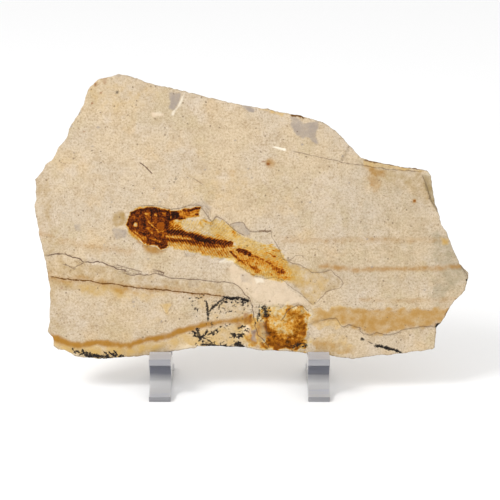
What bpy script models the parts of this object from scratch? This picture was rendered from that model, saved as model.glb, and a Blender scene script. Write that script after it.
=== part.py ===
"""A fossil fish in a thin stone slab that leans in a pair of clear slotted feet.

Blender 4.5, metres, +Z up. The slab faces -Y and leans back. The origin is on the floor under the middle
of the whole object.

The slab and the fish are drawn flat and then leaned back together. Their drawing axes are U to the right,
V up the slab from the level that its lower edge rests at, and W out of its front face.
"""

import math

import bmesh
import bpy
from mathutils import Matrix, Vector, noise

MM = 0.001

# Sizes, in millimetres
SLAB_THICKNESS = 9.5
SLAB_LEAN_DEG = 12.0
SLAB_FOOT_HEIGHT = 17.2
CLEARANCE = 0.3

FOOT_WIDTH = 9.5
FOOT_CENTRES_U = (-40.8, 29.1)
FOOT_BASE_FRONT = -12.0
FOOT_BASE_BACK = 30.0
FOOT_BASE_HEIGHT = 2.25
FOOT_WAIST_FRONT = -2.9
FOOT_WAIST_BACK = 12.0
FOOT_WAIST_HEIGHT = 8.3
FOOT_NOSE_FRONT = -7.9
FOOT_NOSE_TOP = 18.3
FOOT_NOSE_BOTTOM = 15.4
FOOT_LIP = 1.7
FOOT_LOW_PULL = 3.2
FOOT_HIGH_PULL = 12.4
FOOT_HORN_ROOT = 3.0
FOOT_HORN_REACH = 24.0
FOOT_HORN_THICKNESS = 5.5

EDGE_STEP = 3.2
EDGE_GRAIN = 7.0
LAYER_CHANGE = 5.0
FOOT_LEDGE_ROOM = 2.0
RECESS_DEPTH = 0.5
POCKET_DEPTH = 1.4
POCKET_MARGIN = 0.35
FISH_UNDERSIDE = -1.1
FISH_TOP = -0.35
ABOVE_FACE = 4.0
TOOTH_COUNT = 24
FAN_TEETH = 6

# How the slab's broken edge runs back from the front face: depth, inset and roughness of each layer line
SLAB_LAYERS = (
    (0.0, 0.35, 0.1),
    (0.6, 0.0, 0.25),
    (2.7, 0.1, 0.4),
    (3.0, 0.6, 0.4),
    (5.7, 0.3, 0.5),
    (6.1, 1.0, 0.5),
    (8.8, 0.9, 0.6),
    (SLAB_THICKNESS, 1.7, 0.5),
)

# The slab's outline, clockwise from its left tip
SLAB_OUTLINE = (
    (-95.5, 78), (-92, 82), (-91, 84), (-88, 86.5), (-85, 91.5), (-81.5, 96.5), (-80.5, 100), (-77.5, 105),
    (-74, 110.5), (-72, 117), (-71, 118.5), (-67, 121.5), (-59, 124), (-50, 122), (-47, 120.5), (-41, 119),
    (-30, 116.5), (-19, 113.5), (-10, 111.5), (7.5, 108.5), (22, 105.5), (32, 102.5), (36, 99), (48, 87),
    (51.5, 86), (65, 83.5), (76.5, 82), (78.5, 79.5), (78.5, 75.5), (80, 67.5), (82, 61.5), (82.5, 59),
    (87, 51), (89.5, 44.5), (91, 41), (96, 36), (95, 33.5), (93.5, 29), (90, 25.5), (86.5, 21),
    (83, 14.5), (81, 12.5), (80.5, 3.5), (79.5, 2.5), (73, 2), (62.5, 0.5), (48, -0.8), (44.5, -1.5),
    (34, 0), (23, 1), (14, 2), (4, 2.3), (-3.5, 3.6), (-16.5, 4.3), (-24.5, 4), (-26, 3),
    (-35, 2), (-46, 0), (-54, -0.7), (-68, -1.5), (-78, -0.6), (-83.5, 2.5), (-86, 2.7), (-88, 4),
    (-88.5, 8), (-90.5, 10.5), (-89.5, 16), (-89.5, 29), (-91, 40), (-92, 46), (-93.5, 51.5), (-94, 55.5),
    (-96, 66.5), (-95, 69.5),
)

# Where layers have split away from the front face: depth below the face, and the outline that split away
FRONT_STEPS = {
    "upper_crack": (0.55, (
        (-102, 43.5), (-87, 45), (-82.5, 45), (-74, 41.5), (-68, 42), (-62, 39.5), (-58.5, 37), (-46, 35.5),
        (-43, 36.5), (-36.5, 34.5), (-23, 34), (-16.5, 33), (-9, 32.5), (-6.5, 31), (-3.5, 27), (0, 22),
        (0.5, 15), (2, 9.5), (2.5, -6), (-102, -6),
    )),
    "lower_crack": (0.95, (
        (-102, 35.5), (-87, 35), (-80.5, 33.5), (-71.5, 33), (-63, 32), (-54, 30.5), (-36.5, 29), (-21, 27.5),
        (-12, 25.5), (-4, 25.5), (-2, 24), (-3.5, 16), (-3.8, -7), (-102, -7),
    )),
    "right_peel": (0.8, (
        (26, 15), (32, 16), (36.5, 16.5), (38.5, 14), (40, 12.5), (43, 14), (47, 12.5), (49, 9.5),
        (52, 9), (55, 10), (58, 9), (65, 10.5), (69, 12), (78, 13), (90, 12.5), (90, -6), (25.2, -6),
    )),
    "top_ledge": (1.0, (
        (38.5, 86), (51.5, 83.5), (60.5, 82), (67, 81.8), (74, 80), (75.5, 77.5), (76.5, 73.5), (78, 69),
        (80, 66), (81, 63.5), (88, 60), (92, 95), (44, 96),
    )),
    "right_chip": (1.2, (
        (90.5, 46), (91.7, 40), (93, 37.5), (94.3, 35.8), (94.6, 33.5), (93.8, 27), (101, 27), (101, 46),
    )),
    "rough_hollow": (0.85, (
        (6.8, 22.2), (17.3, 22.4), (20, 23.3), (23, 21.7), (24.4, 18.2), (24.8, 11.6), (24.4, -5.5),
        (6.4, -5.5), (5.9, 7.2), (5.9, 13.8),
    )),
    "fish_recess": (RECESS_DEPTH, (
        (-55.3, 59.7), (-53.5, 64.1), (-50.4, 66.7), (-45.2, 66.7), (-40.8, 66.3), (-36.4, 64.8), (-32, 65.2),
        (-27.6, 66.6), (-22.4, 66.8), (-22.4, 63.7), (-23, 61.5), (-18, 59), (-16, 62), (-13.5, 60.5),
        (-5.5, 54.5), (-1.6, 53.1), (-1.2, 55.3), (8, 55.3), (9.8, 50), (12, 46), (13.8, 42), (17.8, 41),
        (26, 37), (34.5, 37.9), (39.3, 33.7), (39.8, 31), (32, 27.5), (27, 22.6), (23, 26.6), (17.5, 31.8),
        (10.3, 33.6), (4.3, 33.2), (-1.8, 37.2), (-6.2, 41), (-12.2, 42.6), (-18, 43.9), (-25, 45.6),
        (-30, 46.7), (-36.3, 47), (-40.3, 45.3), (-42.9, 47.5), (-48.3, 48.1), (-54, 53.3),
    )),
}

# A flake lost from the back
BACK_FLAKE_DEPTH = 1.3
BACK_FLAKE = (
    (-100, 62), (-70, 66), (-48, 58), (-30, 64), (-8, 84), (10, 90), (24, 100), (30, 115), (-100, 130),
)

# Rounded lumps of the rusty concretion: U, V, half width and half height above their seat
LUMP_SEAT = -0.7
LUMP_ROUGHNESS = 0.35
LUMP_NARROWING = 0.85
LUMP_GRAIN = 1.6
LUMPS = (
    (9.4, 19.6, 2.7, 1.0), (14.7, 18.0, 3.5, 1.6), (19.9, 19.8, 2.6, 1.3), (22.3, 15.2, 2.3, 1.4),
    (10.7, 13.4, 4.0, 1.3), (17.4, 12.4, 4.1, 1.8), (22.0, 9.4, 2.7, 1.3), (8.4, 7.6, 2.5, 1.0),
    (13.3, 6.9, 3.6, 1.4), (18.6, 5.9, 3.0, 1.5), (22.6, 5.0, 1.7, 0.9), (-0.8, 11.8, 2.3, 0.9),
    (2.6, 7.4, 2.2, 0.8), (3.2, 14.8, 1.8, 0.9),
)

# The fish, its head to the left: the stretches of its outline, clockwise from under the head
HEAD_EDGE = (
    (-37, 49.9), (-37, 48.2), (-39, 46.9), (-40.5, 46.5), (-42.5, 48.2), (-46, 48.9), (-47.8, 49.1),
    (-50.4, 51.5), (-53.5, 54.4), (-55.3, 56.8), (-55.7, 58.4), (-54.2, 61), (-53.5, 63.3), (-52.2, 64.6),
    (-50.9, 65.7), (-49.1, 66.1), (-45.2, 66.1), (-42.1, 65.7), (-40.3, 64.6), (-37.7, 64.1),
)
FIN_EDGE = (
    (-36.8, 63.2), (-35, 63.9), (-30.6, 63.7), (-29.3, 65), (-26.7, 65.5), (-22.9, 66.1), (-22.9, 65.2),
    (-24, 63.7), (-23.6, 61.7), (-27.6, 61.3), (-30.6, 60.6), (-32.8, 60.2), (-36.6, 60.4), (-37, 58.2),
)
BACK_ROOTS = ((-36.8, 55.7), (-32, 55.1), (-27.6, 54.2), (-18.8, 52.2), (-14.4, 51.1), (-9.1, 50.2))
BACK_TIPS = ((-36.6, 57.1), (-32, 56.4), (-27.6, 55.5), (-20.1, 54), (-14.4, 51.9), (-9.1, 50.9))
TAIL_TOP = ((-5.1, 48.1), (2.4, 47.6), (7.6, 47.8))
FAN_ROOTS = ((9.6, 46.6), (10.2, 43.4), (13.4, 39.2))
FAN_TIPS = ((11.4, 47.6), (12, 43.9), (14.7, 39.8))
TAIL_END = ((17.3, 36.3), (16.9, 34.1), (14.2, 33.4), (10.3, 34.8))
LOBE_ROOTS = ((6.2, 36), (2.4, 37.4), (-2, 40.8))
LOBE_TIPS = ((4.8, 34), (1.3, 35.7), (-3, 39.6))
TAIL_ROOT = ((-5.6, 41.9),)
BELLY_ROOTS = ((-9, 44.8), (-14.4, 46.6), (-18.8, 48.2), (-23.2, 49.3), (-32, 51.1), (-36.6, 51.8))
BELLY_TIPS = ((-7.6, 43.2), (-14.4, 44.5), (-20.1, 46), (-27.6, 47.6), (-32, 48.7), (-36.2, 49.6))

BELOW_FISH = ((-70, 20), (30, 20), (30, 80), (-70, 80))

SKULL_CENTRE = (-45.5, 57.6)
SKULL_RADII = (8.0, 6.4)
SKULL_SEAT = -0.6
SKULL_RISE = 0.75
EYE_CENTRE = (-51.2, 58.1)
EYE_RING_RADIUS = 1.9
EYE_RING_STEPS = 14
GILL_CENTRE = (-40.6, 57.6)
GILL_RADIUS = 1.7
GILL_LIFT = 0.25
GILL_RISE = 0.4

# Bones that stand up as ridges: their routes, and their radius
SKULL_RIDGES = (
    ((-44.6, 65), (-44.3, 62), (-44.5, 59.3)),
    ((-47, 60.2), (-45, 57.8), (-42.6, 56)),
    ((-53.2, 56.4), (-50.6, 53.2), (-48, 51.4)),
    ((-48.4, 54.8), (-46.4, 54), (-44.6, 53.8)),
    ((-41.4, 64), (-38.4, 62.8), (-37.9, 59.8)),
    ((-42, 49.8), (-40, 48), (-37.8, 49.6)),
)
FIN_RAYS = (
    ((-37.4, 62.4), (-31, 62.9), (-24.4, 65)),
    ((-37.4, 61.6), (-31, 62), (-24.9, 63.5)),
    ((-37.4, 61), (-31, 61.3), (-24.8, 62)),
)
TAIL_RAYS = (
    ((-3, 45.3), (2, 46.6), (10, 46.8)),
    ((0, 44.2), (5, 45.2), (10.2, 44.8)),
    ((4, 42.6), (8, 43), (11, 42.4)),
    ((7, 41), (10, 40.6), (12.8, 39.8)),
    ((-5, 45), (-3.6, 42.8), (-2, 41.2)),
    ((-2, 44.2), (0, 41), (1.6, 38.2)),
    ((1, 43.2), (3.2, 40), (5, 37)),
    ((5, 41.6), (8, 38.2), (10.6, 35.8)),
    ((8, 40.2), (11.6, 37), (14.6, 34.8)),
)
RIDGE_RADIUS = 0.25
RIDGE_LIFT = 0.07

# The two stretches of the backbone: route, number of vertebrae, radius at each end
BACKBONE = (
    (((-38.4, 54.2), (-32, 53.3), (-25.4, 52.2), (-18.8, 50.7), (-13.5, 49.6), (-9.6, 48.8)), 18, 0.85, 0.7),
    (((-8.4, 46.6), (-4.7, 45.6), (0, 44), (4.1, 42.3), (7.6, 40.5), (14.8, 36.6)), 14, 0.8, 0.45),
)
BACKBONE_SEAT = -0.7
VERTEBRA_WAIST = 0.72


def clear_scene():
    """Start from an empty scene."""
    for item in list(bpy.data.objects):
        bpy.data.objects.remove(item, do_unlink=True)


def new_collection(name):
    """A collection linked to the scene."""
    group = bpy.data.collections.new(name)
    bpy.context.scene.collection.children.link(group)
    return group


def material(name, colour, roughness, alpha=1.0, transmission=0.0):
    """A plain Principled material."""
    finish = bpy.data.materials.new(name)
    finish.use_nodes = True
    shader = finish.node_tree.nodes["Principled BSDF"]
    shader.inputs["Base Color"].default_value = (*colour, 1.0)
    shader.inputs["Roughness"].default_value = roughness
    shader.inputs["Metallic"].default_value = 0.0
    shader.inputs["Alpha"].default_value = alpha
    shader.inputs["Transmission Weight"].default_value = transmission
    finish.diffuse_color = (*colour, alpha)
    return finish


def mesh_from_curve(name, curve, group, place=Matrix.Identity(4)):
    """Turn a curve into a closed mesh object with its caps welded on."""
    drawn = bpy.data.objects.new(name + "_curve", curve)
    drawn.matrix_world = place
    bpy.context.scene.collection.objects.link(drawn)
    bpy.context.view_layer.update()
    seen = drawn.evaluated_get(bpy.context.evaluated_depsgraph_get())
    mesh = bpy.data.meshes.new_from_object(seen)
    mesh.name = name
    body = bmesh.new()
    body.from_mesh(mesh)
    bmesh.ops.remove_doubles(body, verts=body.verts, dist=0.000001)
    bmesh.ops.recalc_face_normals(body, faces=body.faces)
    body.to_mesh(mesh)
    body.free()
    made = bpy.data.objects.new(name, mesh)
    made.matrix_world = drawn.matrix_world.copy()
    group.objects.link(made)
    bpy.data.objects.remove(drawn, do_unlink=True)
    bpy.data.curves.remove(curve)
    return made


def flat_solid(name, outline, low, high, group, place=Matrix.Identity(4)):
    """A straight solid over an outline in millimetres, from one level to another along its own Z."""
    curve = bpy.data.curves.new(name, "CURVE")
    curve.dimensions = "2D"
    curve.fill_mode = "BOTH"
    curve.extrude = (high - low) / 2 * MM
    line = curve.splines.new("POLY")
    line.points.add(len(outline) - 1)
    for point, (x, y) in zip(line.points, outline):
        point.co = (x * MM, y * MM, 0.0, 1.0)
    line.use_cyclic_u = True
    return mesh_from_curve(name, curve, group, place @ Matrix.Translation((0, 0, (low + high) / 2 * MM)))


def round_bar(name, route, radii, group, closed=False):
    """A round bar along points in millimetres, with a radius at each point: a ring, or with filled ends."""
    curve = bpy.data.curves.new(name, "CURVE")
    curve.dimensions = "3D"
    curve.bevel_depth = MM
    curve.bevel_resolution = 1
    curve.use_fill_caps = True
    line = curve.splines.new("POLY")
    line.points.add(len(route) - 1)
    for point, (x, y, z), radius in zip(line.points, route, radii):
        point.co = (x * MM, y * MM, z * MM, 1.0)
        point.radius = radius
    line.use_cyclic_u = closed
    return mesh_from_curve(name, curve, group)


def squashed_ball(name, centre, radii, group, detail=3, roughness=0.0):
    """A rounded lump: an icosphere with its own radius along each axis, as uneven as its roughness."""
    body = bmesh.new()
    bmesh.ops.create_icosphere(body, subdivisions=detail, radius=1.0)
    for vertex in body.verts:
        vertex.co += noise.noise_vector((vertex.co + Vector(centre)) * LUMP_GRAIN) * roughness
    bmesh.ops.scale(body, vec=[radius * MM for radius in radii], verts=body.verts)
    bmesh.ops.translate(body, vec=[value * MM for value in centre], verts=body.verts)
    return object_from(name, body, group)


def object_from(name, body, group):
    """Link a bmesh as an object and free it."""
    mesh = bpy.data.meshes.new(name)
    body.to_mesh(mesh)
    body.free()
    made = bpy.data.objects.new(name, mesh)
    group.objects.link(made)
    return made


def combine(target, tool, operation):
    """Cut a tool from a target or join it on, and keep the tool as a hidden guide."""
    step = target.modifiers.new(tool.name, "BOOLEAN")
    step.operation = operation
    step.object = tool
    step.solver = "EXACT"
    tool.hide_render = True
    tool.display_type = "WIRE"


def signed_area(outline):
    """Twice the area of an outline, positive when it runs anticlockwise."""
    pairs = zip(outline, outline[1:] + outline[:1])
    return sum(x0 * y1 - x1 * y0 for (x0, y0), (x1, y1) in pairs)


def outward_normals(outline):
    """A unit vector out of the outline at each of its points, lengthened to hold a parallel offset."""
    turn = 1.0 if signed_area(outline) > 0 else -1.0
    count = len(outline)
    normals = []
    for index in range(count):
        here = Vector(outline[index])
        before = (here - Vector(outline[index - 1])).normalized()
        after = (Vector(outline[(index + 1) % count]) - here).normalized()
        first = Vector((before.y, -before.x)) * turn
        second = Vector((after.y, -after.x)) * turn
        normals.append((first + second) / max(1.0 + first.dot(second), 0.5))
    return normals


def grown(outline, margin):
    """An outline moved outward by a margin all round."""
    outline = [tuple(point) for point in outline]
    return [
        (x + normal.x * margin, y + normal.y * margin)
        for (x, y), normal in zip(outline, outward_normals(outline))
    ]


def along(line, share):
    """The point at a share of the way along a broken line."""
    points = [Vector(point) for point in line]
    lengths = [(after - before).length for before, after in zip(points, points[1:])]
    left = share * sum(lengths)
    for before, after, length in zip(points, points[1:], lengths):
        if left <= length:
            return before.lerp(after, left / length)
        left -= length
    return points[-1]


def resampled(outline, step):
    """An outline with points at even steps."""
    closed = list(outline) + [outline[0]]
    total = sum((Vector(b) - Vector(a)).length for a, b in zip(closed, closed[1:]))
    count = round(total / step)
    return [tuple(along(closed, index / count)) for index in range(count)]


def comb(roots, tips, count, backward=False):
    """A row of pointed spines between two lines, leaning along them or back against them."""
    lean = 0.25 if backward else 0.75
    points = []
    for index in range(count):
        points.append(tuple(along(roots, index / count)))
        points.append(tuple(along(tips, (index + lean) / count)))
    points.append(tuple(along(roots, 1.0)))
    return points


def in_foot(u):
    """Whether a point of the slab's lower edge is over a foot, with some room to spare."""
    return any(abs(u - centre) < FOOT_WIDTH for centre in FOOT_CENTRES_U)


def slab_ring(base, normals, depth, inset, roughness):
    """One layer line round the slab's edge."""
    ring = []
    for (u, v), normal in zip(base, normals):
        wobble = noise.noise(Vector((u, v, depth * LAYER_CHANGE)) / EDGE_GRAIN) * roughness
        offset = wobble - inset
        height = v + normal.y * offset
        if in_foot(u) and height < FOOT_LEDGE_ROOM:
            height = max(height, 0.0)
        ring.append((u + normal.x * offset, height, -depth))
    return ring


def loft(name, rings, group):
    """A closed solid through rings of equal count, from its front face to its back."""
    body = bmesh.new()
    rows = [[body.verts.new([value * MM for value in point]) for point in ring] for ring in rings]
    count = len(rows[0])
    for front, back in zip(rows, rows[1:]):
        for index in range(count):
            after = (index + 1) % count
            body.faces.new((front[index], front[after], back[after], back[index]))
    body.faces.new(rows[0])
    body.faces.new(rows[-1])
    bmesh.ops.recalc_face_normals(body, faces=body.faces)
    return object_from(name, body, group)


def build_slab(parts, tools):
    """The stone: a broken, layered edge, split layers on its faces, and the rough concretion."""
    base = resampled(SLAB_OUTLINE, EDGE_STEP)
    normals = outward_normals(base)
    rings = [slab_ring(base, normals, depth, inset, rough) for depth, inset, rough in SLAB_LAYERS]
    slab = loft("stone_slab", rings, parts)
    for name, (depth, outline) in FRONT_STEPS.items():
        combine(slab, flat_solid("cut_" + name, outline, -depth, ABOVE_FACE, tools), "DIFFERENCE")
    room = grown(fish_outline(BACK_TIPS, FAN_TIPS, LOBE_TIPS, BELLY_TIPS), POCKET_MARGIN)
    combine(slab, flat_solid("fish_pocket", room, -POCKET_DEPTH, ABOVE_FACE, tools), "DIFFERENCE")
    back = -SLAB_THICKNESS
    flake = flat_solid("cut_back", BACK_FLAKE, back - ABOVE_FACE, back + BACK_FLAKE_DEPTH, tools)
    combine(slab, flake, "DIFFERENCE")
    for index, (u, v, width, height) in enumerate(LUMPS):
        seat = (u, v, LUMP_SEAT)
        radii = (width, width * LUMP_NARROWING, height)
        lump = squashed_ball(f"lump_{index}", seat, radii, tools, 2, LUMP_ROUGHNESS)
        combine(slab, lump, "UNION")
    return slab


def fish_outline(back, fan, lobe, belly):
    """The fish's outline, clockwise, with the given edges for its back, tail fan, tail lobe and belly."""
    edges = (HEAD_EDGE, FIN_EDGE, back, TAIL_TOP, fan, TAIL_END, lobe, TAIL_ROOT, belly)
    return [point for edge in edges for point in edge]


def skull_level(u, v):
    """The level of the skull's domed surface over a point."""
    across = (u - SKULL_CENTRE[0]) / SKULL_RADII[0]
    up = (v - SKULL_CENTRE[1]) / SKULL_RADII[1]
    dome = SKULL_SEAT + SKULL_RISE * math.sqrt(max(0.0, 1.0 - across * across - up * up))
    return max(dome, FISH_TOP)


def ridge_routes():
    """The bones that stand up from the skull, the fin and the tail, each at the level it lies on."""
    routes = []
    for route in SKULL_RIDGES:
        routes.append([(u, v, skull_level(u, v) + RIDGE_LIFT) for u, v in route])
    for route in FIN_RAYS + TAIL_RAYS:
        routes.append([(u, v, FISH_TOP + RIDGE_LIFT) for u, v in route])
    return routes


def vertebrae(route, count, first, last):
    """Points and radii of a stretch of backbone, with a waist between one vertebra and the next."""
    points, radii = [], []
    for step in range(2 * count + 1):
        share = step / (2 * count)
        u, v = along(route, share)
        waist = VERTEBRA_WAIST if step % 2 == 0 else 1.0
        points.append((u, v, BACKBONE_SEAT))
        radii.append((first + (last - first) * share) * waist)
    return points, radii


def build_fish(parts, tools):
    """The fossil: one bone plate with spined edges, a domed skull, raised rays and a ridge of vertebrae."""
    back = comb(BACK_ROOTS, BACK_TIPS, TOOTH_COUNT)
    belly = comb(BELLY_ROOTS, BELLY_TIPS, TOOTH_COUNT, backward=True)
    fan = comb(FAN_ROOTS, FAN_TIPS, FAN_TEETH)
    lobe = comb(LOBE_ROOTS, LOBE_TIPS, FAN_TEETH)
    outline = fish_outline(back, fan, lobe, belly)
    fish = flat_solid("fossil_fish", outline, -ABOVE_FACE, FISH_TOP, parts)
    dome = squashed_ball("skull_dome", (*SKULL_CENTRE, SKULL_SEAT), (*SKULL_RADII, SKULL_RISE), tools)
    combine(fish, dome, "UNION")
    gill_seat = (*GILL_CENTRE, FISH_TOP + GILL_LIFT)
    gill = squashed_ball("gill_cover", gill_seat, (GILL_RADIUS, GILL_RADIUS * 1.2, GILL_RISE), tools)
    combine(fish, gill, "UNION")
    for index, route in enumerate(ridge_routes()):
        bar = round_bar(f"ridge_{index}", route, [RIDGE_RADIUS] * len(route), tools)
        combine(fish, bar, "UNION")
    eye = []
    for step in range(EYE_RING_STEPS):
        turn = math.tau * step / EYE_RING_STEPS
        u = EYE_CENTRE[0] + EYE_RING_RADIUS * math.cos(turn)
        v = EYE_CENTRE[1] + EYE_RING_RADIUS * math.sin(turn)
        eye.append((u, v, skull_level(u, v) + RIDGE_LIFT))
    combine(fish, round_bar("eye_ring", eye, [RIDGE_RADIUS] * len(eye), tools, closed=True), "UNION")
    for index, (route, count, first, last) in enumerate(BACKBONE):
        points, radii = vertebrae(route, count, first, last)
        combine(fish, round_bar(f"backbone_{index}", points, radii, tools), "UNION")
    under = flat_solid("fish_underside", BELOW_FISH, -2 * ABOVE_FACE, FISH_UNDERSIDE, tools)
    combine(fish, under, "DIFFERENCE")
    return fish


def on_slab(v, w):
    """Where a point of the slab's section lies in the foot's own Y and Z."""
    lean = math.radians(SLAB_LEAN_DEG)
    y = v * math.sin(lean) - w * math.cos(lean)
    z = SLAB_FOOT_HEIGHT + v * math.cos(lean) + w * math.sin(lean)
    return y, z


def bend(start, pull, end, steps=7):
    """Points along a curve that leaves one point towards a pull and reaches another, without the last."""
    start, pull, end = Vector(start), Vector(pull), Vector(end)
    shares = [step / steps for step in range(steps)]
    return [tuple(start.lerp(pull, t).lerp(pull.lerp(end, t), t)) for t in shares]


def foot_outline():
    """The side view of a foot: a waisted stem with a slot that takes the slab, and a long flat base."""
    behind = -(SLAB_THICKNESS + CLEARANCE)
    horn_back = behind - FOOT_HORN_THICKNESS
    round_off = FOOT_HORN_THICKNESS / 2
    reach = FOOT_HORN_REACH
    waist_front = (FOOT_WAIST_FRONT, FOOT_WAIST_HEIGHT)
    waist_back = (FOOT_WAIST_BACK, FOOT_WAIST_HEIGHT)
    base_front = (FOOT_BASE_FRONT, FOOT_BASE_HEIGHT)
    base_back = (FOOT_BASE_BACK, FOOT_BASE_HEIGHT)
    nose_bottom = (FOOT_NOSE_FRONT, FOOT_NOSE_BOTTOM)
    horn_root = on_slab(FOOT_HORN_ROOT, horn_back)
    back_corner = on_slab(reach, horn_back)
    top_middle = on_slab(reach, behind - round_off)
    front_corner = on_slab(reach, behind)
    outline = [(FOOT_BASE_FRONT, 0.0), (FOOT_BASE_BACK, 0.0)]
    outline += bend(base_back, (FOOT_WAIST_BACK, FOOT_LOW_PULL), waist_back)
    outline += bend(waist_back, (FOOT_WAIST_BACK, FOOT_HIGH_PULL), horn_root)
    outline.append(horn_root)
    outline += bend(on_slab(reach - round_off, horn_back), back_corner, top_middle)
    outline += bend(top_middle, front_corner, on_slab(reach - round_off, behind))
    outline.append(on_slab(reach - round_off, behind))
    outline.append(on_slab(-CLEARANCE, behind))
    outline.append(on_slab(-CLEARANCE, CLEARANCE))
    outline.append(on_slab(FOOT_LIP, CLEARANCE))
    outline.append((FOOT_NOSE_FRONT, FOOT_NOSE_TOP))
    outline += bend(nose_bottom, (FOOT_WAIST_FRONT, FOOT_HIGH_PULL), waist_front)
    outline += bend(waist_front, (FOOT_WAIST_FRONT, FOOT_LOW_PULL), base_front)
    outline.append(base_front)
    return outline


def build_feet(parts):
    """The two feet, each cut from thick clear sheet and standing edge on to the slab."""
    side_on = Matrix.Rotation(math.radians(90), 4, "Z") @ Matrix.Rotation(math.radians(90), 4, "X")
    feet = []
    for side, centre in zip(("left", "right"), FOOT_CENTRES_U):
        place = Matrix.Translation((centre * MM, 0, 0)) @ side_on
        half = FOOT_WIDTH / 2
        feet.append(flat_solid("stand_foot_" + side, foot_outline(), -half, half, parts, place))
    return feet


def stand_on_floor(root, pieces):
    """Move the whole object so that the origin is on the floor under its middle."""
    bpy.context.view_layer.update()
    graph = bpy.context.evaluated_depsgraph_get()
    points = []
    for piece in pieces:
        seen = piece.evaluated_get(graph)
        points += [seen.matrix_world @ vertex.co for vertex in seen.to_mesh().vertices]
        seen.to_mesh_clear()
    for axis in (0, 1):
        values = [point[axis] for point in points]
        root.location[axis] = -(min(values) + max(values)) / 2
    root.location.z = -min(point.z for point in points)


def main():
    """Build the stone, the fish and the feet, and put them on one root."""
    clear_scene()
    parts = new_collection("fossil_fish_slab")
    tools = new_collection("cutters")
    root = bpy.data.objects.new("root", None)
    parts.objects.link(root)
    leaning = bpy.data.objects.new("slab_pose", None)
    parts.objects.link(leaning)
    slab = build_slab(parts, tools)
    fish = build_fish(parts, tools)
    feet = build_feet(parts)
    leaning.parent = root
    leaning.location.z = SLAB_FOOT_HEIGHT * MM
    leaning.rotation_euler.x = math.radians(90 - SLAB_LEAN_DEG)
    for item in [slab, fish] + list(tools.objects):
        item.parent = leaning
    for foot in feet:
        foot.parent = root
    slab.data.materials.append(material("stone", (0.72, 0.58, 0.40), 0.85))
    fish.data.materials.append(material("fossil_bone", (0.22, 0.09, 0.02), 0.6))
    clear = material("clear_acrylic", (0.86, 0.90, 0.92), 0.08, 0.4, 1.0)
    for foot in feet:
        foot.data.materials.append(clear)
    stand_on_floor(root, [slab, fish] + feet)


main()
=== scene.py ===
"""A small fossil fish in a thin split slab of pale limestone that leans in two clear acrylic feet.

The slab's own coordinates are in millimetres: U to the right, V up its face from the level that it stands
on, and W out of its front face. The outlines of the slab, its split layers and the fish follow the CAD's, in
those millimetres. Markings are routes in the photograph's pixels, and from_photo turns them into U and V.
"""

import logging
import math
from collections.abc import Callable, Sequence
from dataclasses import dataclass
from enum import Enum
from functools import partial
from typing import Any

import bpy
import numpy as np
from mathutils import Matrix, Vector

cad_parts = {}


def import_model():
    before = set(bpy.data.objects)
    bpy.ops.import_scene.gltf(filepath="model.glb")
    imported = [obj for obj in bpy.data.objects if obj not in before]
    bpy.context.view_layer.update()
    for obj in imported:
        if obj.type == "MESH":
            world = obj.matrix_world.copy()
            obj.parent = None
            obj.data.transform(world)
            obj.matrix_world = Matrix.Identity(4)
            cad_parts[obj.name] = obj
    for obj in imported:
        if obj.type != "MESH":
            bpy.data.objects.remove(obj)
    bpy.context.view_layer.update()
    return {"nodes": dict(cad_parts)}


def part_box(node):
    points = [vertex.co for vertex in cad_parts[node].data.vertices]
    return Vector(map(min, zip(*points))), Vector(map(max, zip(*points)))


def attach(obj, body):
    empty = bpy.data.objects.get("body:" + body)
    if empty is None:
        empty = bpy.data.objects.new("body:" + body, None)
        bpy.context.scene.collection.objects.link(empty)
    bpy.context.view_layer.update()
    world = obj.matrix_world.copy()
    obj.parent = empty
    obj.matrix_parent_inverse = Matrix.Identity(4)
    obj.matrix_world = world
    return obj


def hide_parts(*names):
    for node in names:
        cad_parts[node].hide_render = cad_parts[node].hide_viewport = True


log = logging.getLogger("fossil_fish_slab")

MM = 0.001

Route = Sequence[tuple[float, float]]
Socket = bpy.types.NodeSocket
AddNode = Callable[..., Socket]

# Settings that many nodes share: a smooth step, and a plain and a multiplying mix of colours
SMOOTH_STEP = {"interpolation_type": "SMOOTHSTEP"}
MIX = {"data_type": "RGBA"}
MULTIPLY = {"data_type": "RGBA", "blend_type": "MULTIPLY"}

# The photograph's scale on the slab: millimetres to a pixel, and the pixel of U = 0 and V = 0
PIXEL_WIDTH_MM = 0.44
PIXEL_HEIGHT_MM = 0.4417
PIXEL_U_ZERO = 252.65
PIXEL_V_ZERO = 356.2


def from_photo(route: Route) -> np.ndarray:
    """Turns the photograph's pixels into slab millimetres: U is (x - x0) times scale, V (y0 - y) times scale.

    Args:
        route: Points in pixels.

    Returns:
        An array of U and V, one row for each point.
    """
    pixels = np.asarray(route, float)
    across = (pixels[:, 0] - PIXEL_U_ZERO) * PIXEL_WIDTH_MM
    up = (PIXEL_V_ZERO - pixels[:, 1]) * PIXEL_HEIGHT_MM
    return np.stack([across, up], axis=1)


def linear(colour: str) -> tuple[float, float, float, float]:
    """Turns an sRGB hex colour into linear values with an alpha of one.

    Args:
        colour: Six hex digits, with or without a leading mark.

    Returns:
        Linear red, green, blue and alpha.
    """
    digits = colour.lstrip("#")
    parts = [int(digits[place:place + 2], 16) / 255 for place in (0, 2, 4)]
    light = [part / 12.92 if part <= 0.04045 else ((part + 0.055) / 1.055) ** 2.4 for part in parts]
    return (light[0], light[1], light[2], 1.0)


def smooth(low: float, high: float, value: np.ndarray) -> np.ndarray:
    """The smooth step 3t^2 - 2t^3, where t runs from 0 at low to 1 at high."""
    share = np.clip((value - low) / (high - low), 0.0, 1.0)
    return share * share * (3.0 - 2.0 * share)


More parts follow.
